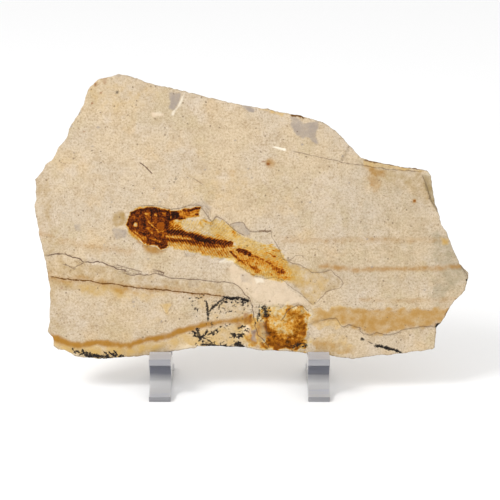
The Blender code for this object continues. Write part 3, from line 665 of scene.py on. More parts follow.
PATCHES = (
    Patch(Tint.GREY, ((170, 94), (181, 95), (180, 103), (176, 111), (170, 109)), 0.72, 0.5),
    Patch(Tint.GREY, ((243, 107), (250, 107.5), (255, 111), (254, 113.5), (245, 112)), 0.8, 0.5),
    Patch(Tint.GREY, ((291, 118), (300, 119), (303, 124), (318, 122), (319, 128), (316, 137), (317, 144),
                      (310, 141), (300, 137), (293, 133), (290, 126)), 0.68, 0.5),
    Patch(Tint.GREY, ((112, 228), (120, 228), (126, 231), (125, 238), (116, 239.5), (112, 235)), 0.55, 0.8),
    Patch(Tint.GREY, ((75, 225), (80, 223), (81.5, 230), (76, 232)), 0.5, 0.6),
    Patch(Tint.GREY, ((195, 203), (205, 201), (212, 208), (210, 219), (200, 213)), 0.35, 0.8),
    Patch(Tint.GREY, ((230, 224.5), (236, 222.5), (243.5, 222.5), (249.5, 231), (250, 234), (246, 236),
                      (240, 233.5), (234, 229.5)), 0.5, 0.35, 0.3),
    Patch(Tint.GREY, ((183, 250), (196, 249), (195, 256), (185, 257)), 0.35, 0.7),
    Patch(Tint.GREY, ((218, 257), (228, 257), (227, 262), (219, 262)), 0.35, 0.7),
    Patch(Tint.GREY, ((240, 274), (252, 275), (251, 283), (242, 282)), 0.35, 0.7),
    Patch(Tint.GREY, ((187, 281), (200, 281), (199, 289), (189, 288)), 0.35, 0.7),
    Patch(Tint.PINK, ((152, 113), (165, 113), (166, 118), (154, 118)), 0.7, 0.5),
    Patch(Tint.PINK, ((232, 263), (245, 271), (255, 277), (265, 280), (275, 278), (285, 283), (295, 291),
                      (303, 297), (312, 306), (268, 306), (256, 300), (243, 290), (234, 283), (228, 272)),
          0.6, 0.8),
    Patch(Tint.CREAM, ((184, 94), (186, 94), (181, 106), (174, 116), (171, 116), (178, 106)), 0.55, 0.3, 0.4),
    Patch(Tint.CREAM, ((152, 111), (162, 112), (164, 118), (158, 117)), 0.34, 0.6),
    Patch(Tint.GREY, ((138, 86), (146, 83), (147, 88), (140, 93)), 0.25, 0.9),
    Patch(Tint.RUST, ((104, 80), (108, 79), (108, 85), (105, 86)), 0.4, 0.5),
    Patch(Tint.RUST, ((95, 85), (98, 84), (98, 88), (95, 88)), 0.45, 0.4),
    Patch(Tint.YELLOW, ((88, 80), (120, 76), (160, 88), (170, 100), (120, 120), (88, 110)), 0.22, 5.0, 3.0),
    Patch(Tint.YELLOW, ((186, 168), (250, 172), (260, 196), (220, 205), (186, 196)), 0.2, 6.0, 3.0),
    Patch(Tint.YELLOW, ((363, 161), (429, 171.5), (428, 173.5), (400, 171), (364, 167)), 0.45, 0.4, 0.3),
    Patch(Tint.OCHRE, ((364, 167), (388, 170), (382, 182), (374, 192), (368, 180)), 0.35, 1.2, 1.2),
    Patch(Tint.CREAM, ((422, 171), (430, 171), (430, 176), (424, 176)), 0.4, 0.6),
    Patch(Tint.OCHRE, ((412, 199), (416, 199), (416, 203), (412, 203)), 0.8, 0.5, 0.3),
    Patch(Tint.YELLOW, ((441, 238), (450, 239), (448, 246), (442, 244)), 0.6, 0.8),
    Patch(Tint.TAN, ((113, 214), (119, 212), (125, 214), (127, 220), (123, 226), (116, 227), (112, 221)),
          0.66, 1.2),
    Patch(Tint.OCHRE, ((330, 309), (360, 308), (400, 309), (450, 308), (447, 322), (436, 327), (402, 330),
                       (385, 334), (371, 335), (362, 331), (345, 326), (337, 318)), 0.5, 1.2),
    Patch(Tint.OCHRE, ((110, 285), (125, 286), (140, 289), (139, 295), (120, 294), (108, 290)), 0.4, 0.8),
    Patch(Tint.OCHRE, ((365, 167), (385, 170), (383, 178), (370, 176)), 0.5, 0.8),
    Patch(Tint.OCHRE, ((225, 170), (235, 171), (234, 176), (226, 175)), 0.25, 0.8),
    Patch(Tint.TAN, ((44, 258), (72, 259), (98, 264), (130, 273), (165, 278), (225, 284), (225, 296),
                     (150, 289), (100, 283), (48, 276)), 0.33, 1.2),
    Patch(Tint.YELLOW, ((46, 342), (100, 346), (150, 343), (200, 330), (245, 322), (246, 346), (170, 350),
                        (100, 360), (60, 352)), 0.5, 1.5),
    Patch(Tint.YELLOW, ((196, 296), (250, 300), (252, 320), (200, 322)), 0.3, 3.0),
    Patch(Tint.TAN, ((44, 278), (100, 284), (125, 287), (120, 296), (60, 291)), 0.46, 2.2),
    Patch(Tint.YELLOW, ((60, 280), (110, 285), (150, 291), (165, 294), (150, 301), (80, 294)), 0.42, 2.5),
    Patch(Tint.OLIVE, ((425, 225), (450, 235), (475, 270), (470, 285), (445, 305), (432, 300), (438, 260)),
          0.44, 4.0, 3.0),
    Patch(Tint.TAN, ((364, 168), (430, 173), (434, 195), (438, 212), (420, 200), (400, 188), (366, 176)),
          0.32, 2.5),
    Patch(Tint.TAN, ((36, 180), (52, 180), (60, 260), (62, 340), (46, 340), (42, 240)), 0.3, 4.5, 3.0),
    Patch(Tint.TAN, ((46, 296), (150, 302), (190, 312), (180, 325), (120, 340), (50, 335)), 0.18, 5.0, 3.0),
    Patch(Tint.TAN, ((60, 347), (110, 350), (140, 347), (165, 343), (168, 354), (120, 360), (80, 358)), 0.5,
          1.2),
    Patch(Tint.TAN, ((286, 262), (305, 267), (320, 272.5), (331, 270), (343, 281), (340, 288), (330, 290.5),
                     (320, 299), (312, 306), (298, 292), (287, 280)), 0.3, 0.6),
    Patch(Tint.YELLOW, ((284, 266), (296, 264), (316, 272), (330, 280), (320, 296), (312, 306), (298, 292),
                        (287, 280)), 0.36, 1.0),
    Patch(Tint.OCHRE, ((313, 311), (330, 309), (340, 313), (346, 323), (336, 319), (322, 323), (313, 320)),
          0.42, 0.4, 1.8),
    Patch(Tint.YELLOW, ((310, 311), (330, 308), (400, 310), (448, 309), (445, 322), (436, 326), (402, 329),
                        (385, 333), (371, 334), (362, 330), (345, 325), (312, 330)), 0.5, 1.0, 1.8),
    Patch(Tint.OCHRE, ((312, 341), (330, 339), (343, 341), (350, 348), (357, 357), (330, 357), (312, 353)),
          0.34, 0.4, 1.8),
    Patch(Tint.YELLOW, ((310, 334), (345, 338), (356, 350), (357, 358), (312, 356)), 0.4, 1.0, 1.8),
    Patch(Tint.OCHRE, ((136, 238), (148, 242), (162, 246), (165, 252), (158, 256), (146, 253)), 0.74, 1.7),
    Patch(Tint.CREAM, ((270, 147.5), (277, 147), (283, 148.5), (287.5, 150.8), (284, 151), (277, 149.3)),
          1.0, 0.22, 0.15),
    Patch(Tint.CREAM, ((219, 262), (226, 258.5), (233, 258), (236, 261), (229, 262), (223, 264)), 0.55, 0.5),
    Patch(Tint.CREAM, ((255, 278), (262, 278), (263, 282), (257, 283)), 0.55, 0.5),
    Patch(Tint.OCHRE, ((227, 268), (240, 268), (242, 275), (230, 275)), 0.25, 1.0),
    Patch(Tint.YELLOW, ((257, 108), (262, 108), (272, 111), (284, 115), (282, 117), (270, 114), (258, 111)),
          0.45, 0.4),
    Patch(Tint.YELLOW, ((240, 318), (262, 316), (266, 330), (262, 349), (246, 348)), 0.4, 1.5),
    Patch(Tint.GREY, ((254, 320), (262, 319), (267, 330), (264, 347), (256, 341)), 0.28, 0.9, 1.6),
    Patch(Tint.TAN, ((254, 324), (261, 323), (266, 332), (263, 347), (256, 341)), 0.4, 0.9, 1.6),
    Patch(Tint.RUST, ((256, 322), (258, 322), (262, 340), (260, 345)), 0.3, 0.5),
    Patch(Tint.RUST, ((272, 345), (284, 344), (300, 347), (296, 351), (276, 351)), 0.35, 0.8, 1.2),
    Patch(Tint.RUST, ((301, 318), (306, 321), (307, 338), (302, 334)), 0.3, 0.8, 1.2),
    Patch(Tint.GREY, ((250.5, 331), (256, 330), (257, 343), (251, 342)), 0.75, 0.5),
    Patch(Tint.RUST, ((251, 331), (256.5, 332), (256, 341), (252, 338)), 0.4, 0.6),
    Patch(Tint.YELLOW, ((160, 305), (166, 316), (173, 304)), 0.5, 0.6),
    Patch(Tint.RUST, ((245, 313), (251, 312), (254, 321), (250, 326), (243, 325)), 0.5, 0.7, 1.4),
    Patch(Tint.RUST, ((236, 321), (243, 325), (241, 331), (235, 329)), 0.42, 0.7, 1.4),
    Patch(Tint.RUST, ((245, 337), (251, 336), (258, 343), (262, 349), (251, 348)), 0.4, 0.8, 1.4),
    # Painted shade: a broad, faint darkening over the right part of the face, where less light falls
    Patch(Tint.OLIVE, ((330, 150), (430, 165), (470, 280), (440, 300), (330, 300)), 0.19, 14.0, 4.0),
    Patch(Tint.GREY, ((128, 87), (136, 87), (137, 91), (129, 92)), 0.25, 0.6),
    Patch(Tint.GREY, ((115, 75), (122, 76), (121, 78), (115, 77.5)), 0.5, 0.5),
    Patch(Tint.GREY, ((76, 111), (81, 112), (80, 117), (75, 116)), 0.4, 0.6),
    Patch(Tint.CREAM, ((178, 344), (200, 346), (200, 350), (176, 350)), 0.35, 0.5),
    Patch(Tint.OLIVE, ((421, 174), (430, 173), (434, 195), (440, 216), (433, 208), (425, 190)), 0.5, 0.4),
)

# Rusty crust: its outlines in pixels, its tone from 0, dark brown, to 1, pale yellow, and its edge in mm
CRUSTS = (
    (((258, 308), (270, 306), (284, 308), (291, 305.5), (298, 304), (306, 308), (309, 316), (309, 340),
      (306, 350), (280, 352), (264, 349), (264, 330), (260, 320)), 0.71, 1.4),
    (((242, 320), (252, 316), (262, 318), (266, 326), (266, 349), (252, 347), (244, 338)), 0.62, 1.6),
    (((262, 318), (268, 316), (270, 326), (276, 333), (285, 335), (292, 330), (291, 320), (285, 313),
      (290, 308), (299, 308), (305, 312), (307, 320), (310, 332), (307, 343), (303, 349), (294, 351),
      (280, 351), (269, 350), (264, 342), (262, 330)), 0.46, 1.6),
    (((262, 322), (271, 326), (275, 338), (269, 345), (262, 338)), 0.3, 1.3),
    (((270, 339), (284, 340), (302, 341), (300, 350), (276, 350)), 0.3, 1.3),
    (((299, 320), (306, 322), (307, 336), (300, 334)), 0.36, 1.2),
    (((290, 309), (299, 307), (305, 311), (304, 317), (296, 315)), 0.66, 1.2),
    (((289, 313), (296, 311), (301, 315), (296, 321), (290, 320)), 0.52, 0.9),
    (((244, 318), (249, 313), (254, 314), (253, 321), (247, 325), (242, 323)), 0.5, 0.9),
    (((260, 338), (264, 336), (266, 348), (261, 348)), 0.4, 0.8),
    (((300, 346), (307, 345), (309, 351), (300, 352)), 0.55, 0.7),
)

SPOTS = (
    Spot(Tint.BLACK, (195, 309), (1.2, 1.2)), Spot(Tint.BLACK, (196, 298), (0.9, 0.9)),
    Spot(Tint.BLACK, (201, 298), (0.8, 0.8)), Spot(Tint.BLACK, (212, 306), (0.9, 0.9)),
    Spot(Tint.BLACK, (214, 302), (0.8, 0.8)), Spot(Tint.BLACK, (219, 308), (0.9, 1.2)),
    Spot(Tint.BLACK, (225.5, 313), (0.8, 0.8)), Spot(Tint.BLACK, (233, 306.5), (0.8, 0.8)),
    Spot(Tint.BLACK, (244, 310), (0.9, 0.9)), Spot(Tint.BLACK, (217, 318), (0.8, 0.8)),
    Spot(Tint.BLACK, (229.5, 325), (1.1, 0.8)), Spot(Tint.BLACK, (211.5, 323.5), (1.0, 0.8)),
    Spot(Tint.BLACK, (236, 343), (1.0, 0.8)), Spot(Tint.BLACK, (247.5, 306), (0.8, 1.0)),
    Spot(Tint.BLACK, (118, 93.5), (1.4, 1.4), 0.7), Spot(Tint.RUST, (102, 94), (1.1, 1.0), 0.8),
    Spot(Tint.RUST, (93, 104.5), (1.4, 1.2), 0.8), Spot(Tint.GREY, (80, 114), (1.6, 1.2), 0.8),
    Spot(Tint.GREY, (72, 127), (1.4, 1.4), 0.8), Spot(Tint.GREY, (99, 128), (1.6, 1.2), 0.8),
    Spot(Tint.RUST, (85, 132.5), (1.0, 1.0), 0.7), Spot(Tint.GREY, (93, 147), (1.0, 1.0), 0.8),
    Spot(Tint.GREY, (75, 153), (1.0, 1.0), 0.8), Spot(Tint.BLACK, (176, 179), (1.0, 1.0), 0.7),
    Spot(Tint.GREY, (154, 188.5), (1.0, 1.0), 0.8), Spot(Tint.GREY, (112, 202), (1.0, 1.0), 0.8),
    Spot(Tint.GREY, (160, 202), (1.0, 1.0), 0.8), Spot(Tint.GREY, (64, 213), (1.0, 1.0), 0.8),
    Spot(Tint.GREY, (235, 141), (1.0, 1.0), 0.8), Spot(Tint.GREY, (248, 169), (1.0, 1.0), 0.8),
    Spot(Tint.GREY, (252, 178), (1.0, 1.0), 0.8), Spot(Tint.GREY, (205, 170), (1.0, 1.0), 0.8),
    Spot(Tint.GREY, (302, 145), (1.0, 1.0), 0.8), Spot(Tint.GREY, (310, 202.5), (1.2, 1.0), 0.8),
    Spot(Tint.GREY, (290, 209), (1.0, 1.0), 0.8), Spot(Tint.GREY, (342, 156.5), (1.0, 1.0), 0.8),
    Spot(Tint.GREY, (349, 183), (1.0, 1.0), 0.8), Spot(Tint.GREY, (367, 239), (1.0, 1.0), 0.8),
    Spot(Tint.GREY, (372, 267), (1.0, 1.0), 0.8), Spot(Tint.RUST, (414, 201), (1.3, 1.0), 0.9),
    Spot(Tint.BLACK, (411, 202), (0.9, 0.9), 0.6), Spot(Tint.GREY, (425, 290), (1.0, 1.0), 0.8),
    Spot(Tint.GREY, (133, 302), (1.0, 1.0), 0.8), Spot(Tint.GREY, (133, 307), (1.0, 1.0), 0.8),
    Spot(Tint.GREY, (161, 322), (1.0, 1.0), 0.8), Spot(Tint.GREY, (104, 245), (1.0, 1.0), 0.8),
    Spot(Tint.GREY, (148, 259), (1.0, 1.0), 0.8), Spot(Tint.RUST, (61, 288), (1.2, 1.0), 0.7),
    Spot(Tint.RUST, (268, 164.5), (2.2, 1.6), 0.8), Spot(Tint.OCHRE, (372, 185), (2.4, 2.0), 0.5),
    Spot(Tint.CREAM, (247, 330.5), (4.0, 5.0), 0.5),
    Spot(Tint.RUST, (263.5, 162), (2.4, 0.8), 0.6), Spot(Tint.OCHRE, (270, 163.5), (5.0, 5.0), 0.6),
)


def stroke_fields(u: np.ndarray, v: np.ndarray, strokes: Sequence[Stroke]) -> tuple[np.ndarray, np.ndarray]:
    """How far each point is from the nearest of some thin markings, in its half widths, and its strength.

    The strength falls off beyond the marking and at its two ends, so that the far side of the signed
    distance never shows.

    Args:
        u: U of each point.
        v: V of each point.
        strokes: The markings.

    Returns:
        The signed distance over the half width, and the strength.
    """
    best = np.full(u.shape, np.inf)
    across = np.full(u.shape, 9.0)
    strength = np.zeros(u.shape)
    for stroke in strokes:
        signed, share = line_distance(u, v, from_photo(stroke.route))
        reach = np.abs(signed)
        nearer = reach < best
        ends = smooth(0.0, 0.04, share) * smooth(1.0, 0.96, share)
        near = np.clip(2.2 - reach, 0.0, 1.0) * ends * stroke.strength
        best = np.where(nearer, reach, best)
        across = np.where(nearer, signed / stroke.half_width, across)
        strength = np.where(nearer, near, strength)
    return np.clip(across, -9.0, 9.0), strength


# The fish's outline, its head to the left, clockwise, in slab millimetres: its spines' roots and their tips
HEAD_EDGE = (
    (-37, 49.9), (-37, 48.2), (-39, 46.9), (-40.5, 46.5), (-42.5, 48.2), (-46, 48.9), (-47.8, 49.1),
    (-50.4, 51.5), (-53.5, 54.4), (-55.3, 56.8), (-55.7, 58.4), (-54.2, 61), (-53.5, 63.3), (-52.2, 64.6),
    (-50.9, 65.7), (-49.1, 66.1), (-45.2, 66.1), (-42.1, 65.7), (-40.3, 64.6), (-37.7, 64.1),
)
FIN_EDGE = (
    (-36.8, 63.2), (-35, 63.9), (-30.6, 63.7), (-29.3, 65), (-26.7, 65.5), (-22.9, 66.1), (-22.9, 65.2),
    (-24, 63.7), (-23.6, 61.7), (-27.6, 61.3), (-30.6, 60.6), (-32.8, 60.2), (-36.6, 60.4), (-37, 58.2),
)
BACK_ROOTS = ((-36.8, 55.7), (-32, 55.1), (-27.6, 54.2), (-18.8, 52.2), (-14.4, 51.1), (-9.1, 50.2))
BACK_TIPS = ((-36.6, 57.1), (-32, 56.4), (-27.6, 55.5), (-20.1, 54), (-14.4, 51.9), (-9.1, 50.9))
TAIL_TOP = ((-5.1, 48.1), (2.4, 47.6), (7.6, 47.8))
FAN_ROOTS = ((9.6, 46.6), (10.2, 43.4), (13.4, 39.2))
FAN_TIPS = ((11.4, 47.6), (12, 43.9), (14.7, 39.8))
TAIL_END = ((17.3, 36.3), (16.9, 34.1), (14.2, 33.4), (10.3, 34.8))
LOBE_ROOTS = ((6.2, 36), (2.4, 37.4), (-2, 40.8))
LOBE_TIPS = ((4.8, 34), (1.3, 35.7), (-3, 39.6))
TAIL_ROOT = ((-5.6, 41.9),)
BELLY_ROOTS = ((-9, 44.8), (-14.4, 46.6), (-18.8, 48.2), (-23.2, 49.3), (-32, 51.1), (-36.6, 51.8))
BELLY_TIPS = ((-7.6, 43.2), (-14.4, 44.5), (-20.1, 46), (-27.6, 47.6), (-32, 48.7), (-36.2, 49.6))

SKULL_CREASES = (
    ((-44.6, 65), (-44.3, 62), (-44.5, 59.3)),
    ((-47, 60.2), (-45, 57.8), (-42.6, 56)),
    ((-53.2, 56.4), (-50.6, 53.2), (-48, 51.4)),
    ((-48.4, 54.8), (-46.4, 54), (-44.6, 53.8)),
    ((-41.4, 64), (-38.4, 62.8), (-37.9, 59.8)),
    ((-42, 49.8), (-40, 48), (-37.8, 49.6)),
)
FIN_RAYS = (
    ((-37.4, 62.6), (-31, 63.1), (-23.6, 65.4)),
    ((-37.4, 62.2), (-31, 62.6), (-24, 64.5)),
    ((-37.4, 61.7), (-31, 62.1), (-24.4, 63.6)),
    ((-37.4, 61.2), (-31, 61.6), (-24.4, 62.7)),
    ((-37.4, 60.8), (-31, 61.1), (-24.4, 62)),
)
# The two stretches of the backbone: route, number of vertebrae, and half width at each end
FRONT_BACKBONE = ((-38.4, 54.2), (-32, 53.3), (-25.4, 52.2), (-18.8, 50.7), (-13.5, 49.6), (-9.6, 48.8))
REAR_BACKBONE = ((-8.4, 46.6), (-4.7, 45.6), (0, 44), (4.1, 42.3), (7.6, 40.5), (14.8, 36.6))
BACKBONE = ((FRONT_BACKBONE, 26, 0.85, 0.7), (REAR_BACKBONE, 20, 0.8, 0.45))
STRETCH_CHANGE_U = -9.0
GILL_PLATE = (160.8, 226)
EYE = (135.6, 224.8)


@dataclass(frozen=True)
class FossilMark:
    """A mark of the fossil: a filled outline in pixels, or a line where it has a half width in millimetres.

    Its tone runs from 0, black brown, over amber and orange to 1, the cream of the stone.
    """

    tone: float
    route: Route
    half_width: float = 0.0
    soft: float = 0.35
    strength: float = 1.0


# The fossil's tones in the order that they are laid on: the haze in the stone first, then bone and pigment
FOSSIL_HAZE = (
    FossilMark(0.9, ((285, 262), (296, 266), (306, 272), (303, 284), (294, 284), (286, 280)), 0.0, 2.0),
    FossilMark(0.84, ((205, 223), (216, 218), (224, 221), (240, 235), (262, 243), (276, 247), (284, 262),
                      (260, 256), (232, 243), (212, 236)), 0.0, 0.7),
    FossilMark(0.93, ((178, 219), (205, 220), (212, 232), (196, 232), (180, 227)), 0.0, 0.8),
    FossilMark(0.74, ((166, 226), (182, 228), (205, 234), (232, 240), (238, 250), (228, 258), (205, 254),
                      (180, 250), (166, 247)), 0.0, 0.7),
    FossilMark(0.66, ((197, 247), (222, 250), (238, 255), (231, 260), (215, 258), (200, 253)), 0.0, 0.9),
    FossilMark(0.58, ((166, 219), (177, 220), (182, 227), (184, 231), (166, 231)), 0.0, 0.8),
    FossilMark(0.4, ((167, 222), (173, 222), (178, 228), (168, 230)), 0.0, 0.8, 0.7),
    FossilMark(0.74, ((229, 250), (236, 246), (256, 249), (279, 251), (288, 262), (295, 278), (284, 282),
                      (268, 279), (250, 273), (236, 264)), 0.0, 0.9),
    FossilMark(0.6, ((232, 252), (244, 252), (262, 257), (280, 265), (284, 272), (262, 266), (244, 264)),
               0.0, 1.0),
)
FOSSIL_MARKS = (
    FossilMark(0.22, ((127, 226), (129, 217), (133, 211), (141, 208), (150, 207), (160, 208), (169, 210),
                     (169, 232), (166, 240), (158, 238), (144, 239), (136, 235), (129, 230)), 0.0, 0.5),
    FossilMark(0.6, ((134, 209.5), (140, 207.5), (147, 206.8)), 0.3),
    FossilMark(0.04, ((127, 225), (128.5, 220), (130.5, 215), (134, 212)), 0.45),
    FossilMark(0.06, ((131, 213), (136, 211), (142, 210.5), (148, 208.5), (152, 208)), 0.6),
    FossilMark(0.22, ((131, 216), (137, 214), (143, 216), (143, 221), (138, 220), (132, 221))),
    FossilMark(0.14, ((133, 218), (138, 216.5), (142, 219)), 0.25),
    FossilMark(0.1, ((140, 218), (146, 220), (146, 226), (140, 226))),
    FossilMark(0.4, ((145, 212), (149, 212), (151, 216), (151, 221), (157, 219), (157, 223), (149, 223),
                      (146, 218)), 0.0, 0.5, 0.7),
    FossilMark(0.52, ((145.5, 213.5), (147.5, 214.5)), 0.35),
    FossilMark(0.52, ((155, 214.5), (156.5, 216)), 0.35),
    FossilMark(0.02, ((149, 207.5), (157, 207.5), (157, 213), (154, 213.5), (153, 211), (150, 212))),
    FossilMark(0.0, ((152, 208), (151.5, 215), (152, 222)), 0.4),
    FossilMark(0.1, ((159, 210), (169, 210.5), (170, 219), (167, 220), (160, 218))),
    FossilMark(0.3, ((162, 212.5), (166, 213), (166, 217), (162, 216))),
    FossilMark(0.05, ((168.8, 211), (170, 215), (169, 219.5)), 0.6),
    FossilMark(0.1, ((165, 219), (168, 222), (168, 232), (166, 233))),
    FossilMark(0.1, ((156, 222.4), (159.6, 220.4), (163.8, 220.8), (166, 224.4), (165.6, 229.4), (162, 231.6),
                     (157.8, 230), (155.6, 226)), 0.0, 0.3),
    FossilMark(0.36, ((157, 223), (159.8, 221.6), (163.2, 221.9), (165, 225), (164.5, 228.7), (162, 230.6),
                      (158.4, 229), (156.8, 226)), 0.0, 0.25),
    FossilMark(0.58, ((160, 231), (163, 231.5), (165.5, 229)), 0.25),
    FossilMark(0.08, ((149.5, 223), (153, 227), (157, 230.5)), 0.35),
    FossilMark(0.4, ((146, 226), (150, 227), (154, 231), (152, 235), (147, 231)), 0.0, 0.5),
    FossilMark(0.12, ((143, 228), (147, 230), (149, 233)), 0.3),
    FossilMark(0.55, ((148, 222), (153, 226), (160, 233)), 0.25),
    FossilMark(0.06, ((143.5, 234), (151, 234.5)), 0.3),
    FossilMark(0.62, ((127.5, 229), (131, 229.5), (137, 232), (141, 236), (144, 242), (139, 241),
                      (132, 236.5), (129, 233)), 0.0, 0.4),
    FossilMark(0.18, ((129.5, 229), (134, 232.5), (139, 236), (143, 241)), 0.3),
    FossilMark(0.84, ((129, 234), (134, 238), (139, 240.5)), 0.25),
    FossilMark(0.42, ((140, 236), (147, 237), (148, 243), (144, 244), (141, 240)), 0.0, 0.5),
    FossilMark(0.17, ((146.5, 237), (160, 237), (167, 241), (168.5, 246), (161, 250.5), (157, 245.5),
                      (146, 245)), 0.0, 0.4),
    FossilMark(0.4, ((150, 238.5), (156, 240), (160, 242)), 0.3),
    FossilMark(0.36, ((161, 247), (165, 244), (168, 243)), 0.25),
    FossilMark(0.03, ((159.5, 247), (163, 248)), 0.4),
    FossilMark(0.47, ((169, 212), (186, 209.5), (200, 207), (199, 216), (190, 217.5), (172, 220)), 0.0, 0.4),
    FossilMark(0.02, ((171, 212), (177, 211.5), (179.5, 214), (178, 219.5), (171, 220)), 0.0, 0.4),
    FossilMark(0.14, ((186, 210), (192, 208.5), (200.5, 207), (200, 209.5), (194, 210.5), (188, 212))),
    FossilMark(0.08, ((183.5, 210), (185.5, 210)), 0.4),
    FossilMark(0.56, ((190, 212), (198, 211), (198, 215), (190, 216)), 0.0, 0.4),
    FossilMark(0.1, ((196.4, 214.8), (197.4, 214.8)), 0.5),
    FossilMark(0.08, ((172, 219.3), (180, 219.3), (187, 218)), 0.3),
    FossilMark(0.5, ((187, 217.5), (199, 216)), 0.25),
    FossilMark(0.4, ((166, 229), (180, 230.5), (197, 234), (215, 238.5), (232, 242), (232, 246.5),
                     (215, 248.5), (197, 246), (182, 243), (166, 242)), 0.0, 0.5),
    FossilMark(0.14, ((166, 231), (180, 232.5), (195, 236.5), (205, 239.5), (215, 241.5), (226, 243),
                      (231, 243)), 0.85, 0.5),
    FossilMark(0.25, ((214, 242), (222, 243), (231, 243.5)), 0.9, 0.5),
    FossilMark(0.24, ((166, 240), (180, 240.5), (190, 241.5), (205, 244.5), (214, 246.5)), 0.4, 0.5),
    FossilMark(0.66, ((166, 236.5), (176, 237), (184, 238), (190, 239)), 0.4, 0.3),
    FossilMark(0.03, ((196, 238.5), (203, 240), (212, 242)), 0.9, 0.6),
    FossilMark(0.16, ((212, 242), (222, 244), (228, 243.5)), 0.4, 0.5),
    FossilMark(0.1, ((230, 251.5), (234.5, 256), (239, 260.5)), 0.25),
    FossilMark(0.3, ((236, 256), (242, 262), (246, 265)), 0.25),
    FossilMark(0.18, ((235.5, 249.5), (239, 248.5), (243, 250), (243, 253.5), (238, 252.5)), 0.0, 0.35),
    FossilMark(0.16, ((243, 249.5), (247, 250), (248, 255), (244, 255.5)), 0.0, 0.35),
    FossilMark(0.2, ((247, 252), (251.5, 252), (252, 256.5), (248, 257)), 0.0, 0.35),
    FossilMark(0.34, ((252, 255.5), (258, 257.5), (264, 260.5), (270, 264)), 0.3),
    FossilMark(0.42, ((271, 266), (276, 266), (283, 270), (287, 273), (284, 275), (277, 272.5), (272, 269.5)),
               0.0, 0.6),
    FossilMark(0.5, ((274, 272), (283, 276), (291, 278), (288, 280), (278, 277)), 0.0, 0.6),
    FossilMark(0.34, ((277, 270.5), (282, 273)), 0.7, 0.6),
    FossilMark(0.45, ((265, 251), (269, 253.5), (275, 257)), 0.3),
    FossilMark(0.42, ((250, 266), (256, 266), (261, 271), (256, 273), (252, 270)), 0.0, 0.6),
    FossilMark(0.5, ((247, 263), (251, 267), (258, 272)), 0.25),
    FossilMark(0.56, ((260, 246), (265, 245.5), (272, 244.7), (276, 244.5)), 0.14),
    FossilMark(0.5, ((268, 247.5), (272, 247), (275, 247.5)), 0.14),
    FossilMark(0.5, ((265, 249), (270, 250), (280, 251)), 0.14),
    FossilMark(0.45, ((202, 219.5), (207, 222), (212, 224.3)), 0.22),
    FossilMark(0.6, ((200.5, 223), (202, 226)), 0.5, 0.4, 0.7),
    FossilMark(0.55, ((217.5, 235.5), (219, 236)), 0.5, 0.4, 0.7),
    FossilMark(0.52, ((234, 235.5), (235.5, 236.5)), 0.55, 0.4, 0.7),
    FossilMark(0.56, ((233, 232), (234, 233)), 0.4),
    FossilMark(0.55, ((222.5, 250), (223.5, 250.5)), 0.45),
    FossilMark(0.55, ((226.5, 252), (227.5, 252.2)), 0.45),
    FossilMark(0.4, ((252, 274), (253.5, 275)), 0.4),
    FossilMark(0.4, ((270.5, 274), (271.5, 275)), 0.35),
)


@dataclass(frozen=True)
class RayArea:
    """An area of fine parallel rays: its outline in pixels, their slope, their spacing and their strength.

    Where the slope is None, the rays lean back from the backbone on both its sides.
    """

    outline: Route
    slope_deg: float | None
    spacing: float
    strength: float


RAY_AREAS = (
    RayArea(((178, 219), (200, 218), (206, 222), (208, 232), (190, 229), (178, 225)), 62.0, 1.2, 0.45),
    RayArea(((211, 224), (222, 219), (231, 227), (247, 238), (236, 241), (222, 238), (208, 233)), 46.0, 1.1,
            0.4),
    RayArea(((166, 224), (182, 224), (205, 229), (232, 237), (238, 250), (228, 260), (205, 256), (180, 251),
             (166, 248)), None, 1.3, 1.0),
    RayArea(((229, 246), (252, 244), (280, 248), (287, 260), (294, 276), (282, 284), (250, 277), (230, 262)),
            None, 1.15, 0.5),
    RayArea(((168, 209), (202, 205), (201, 218), (170, 222)), 12.0, 1.1, 0.3),
)


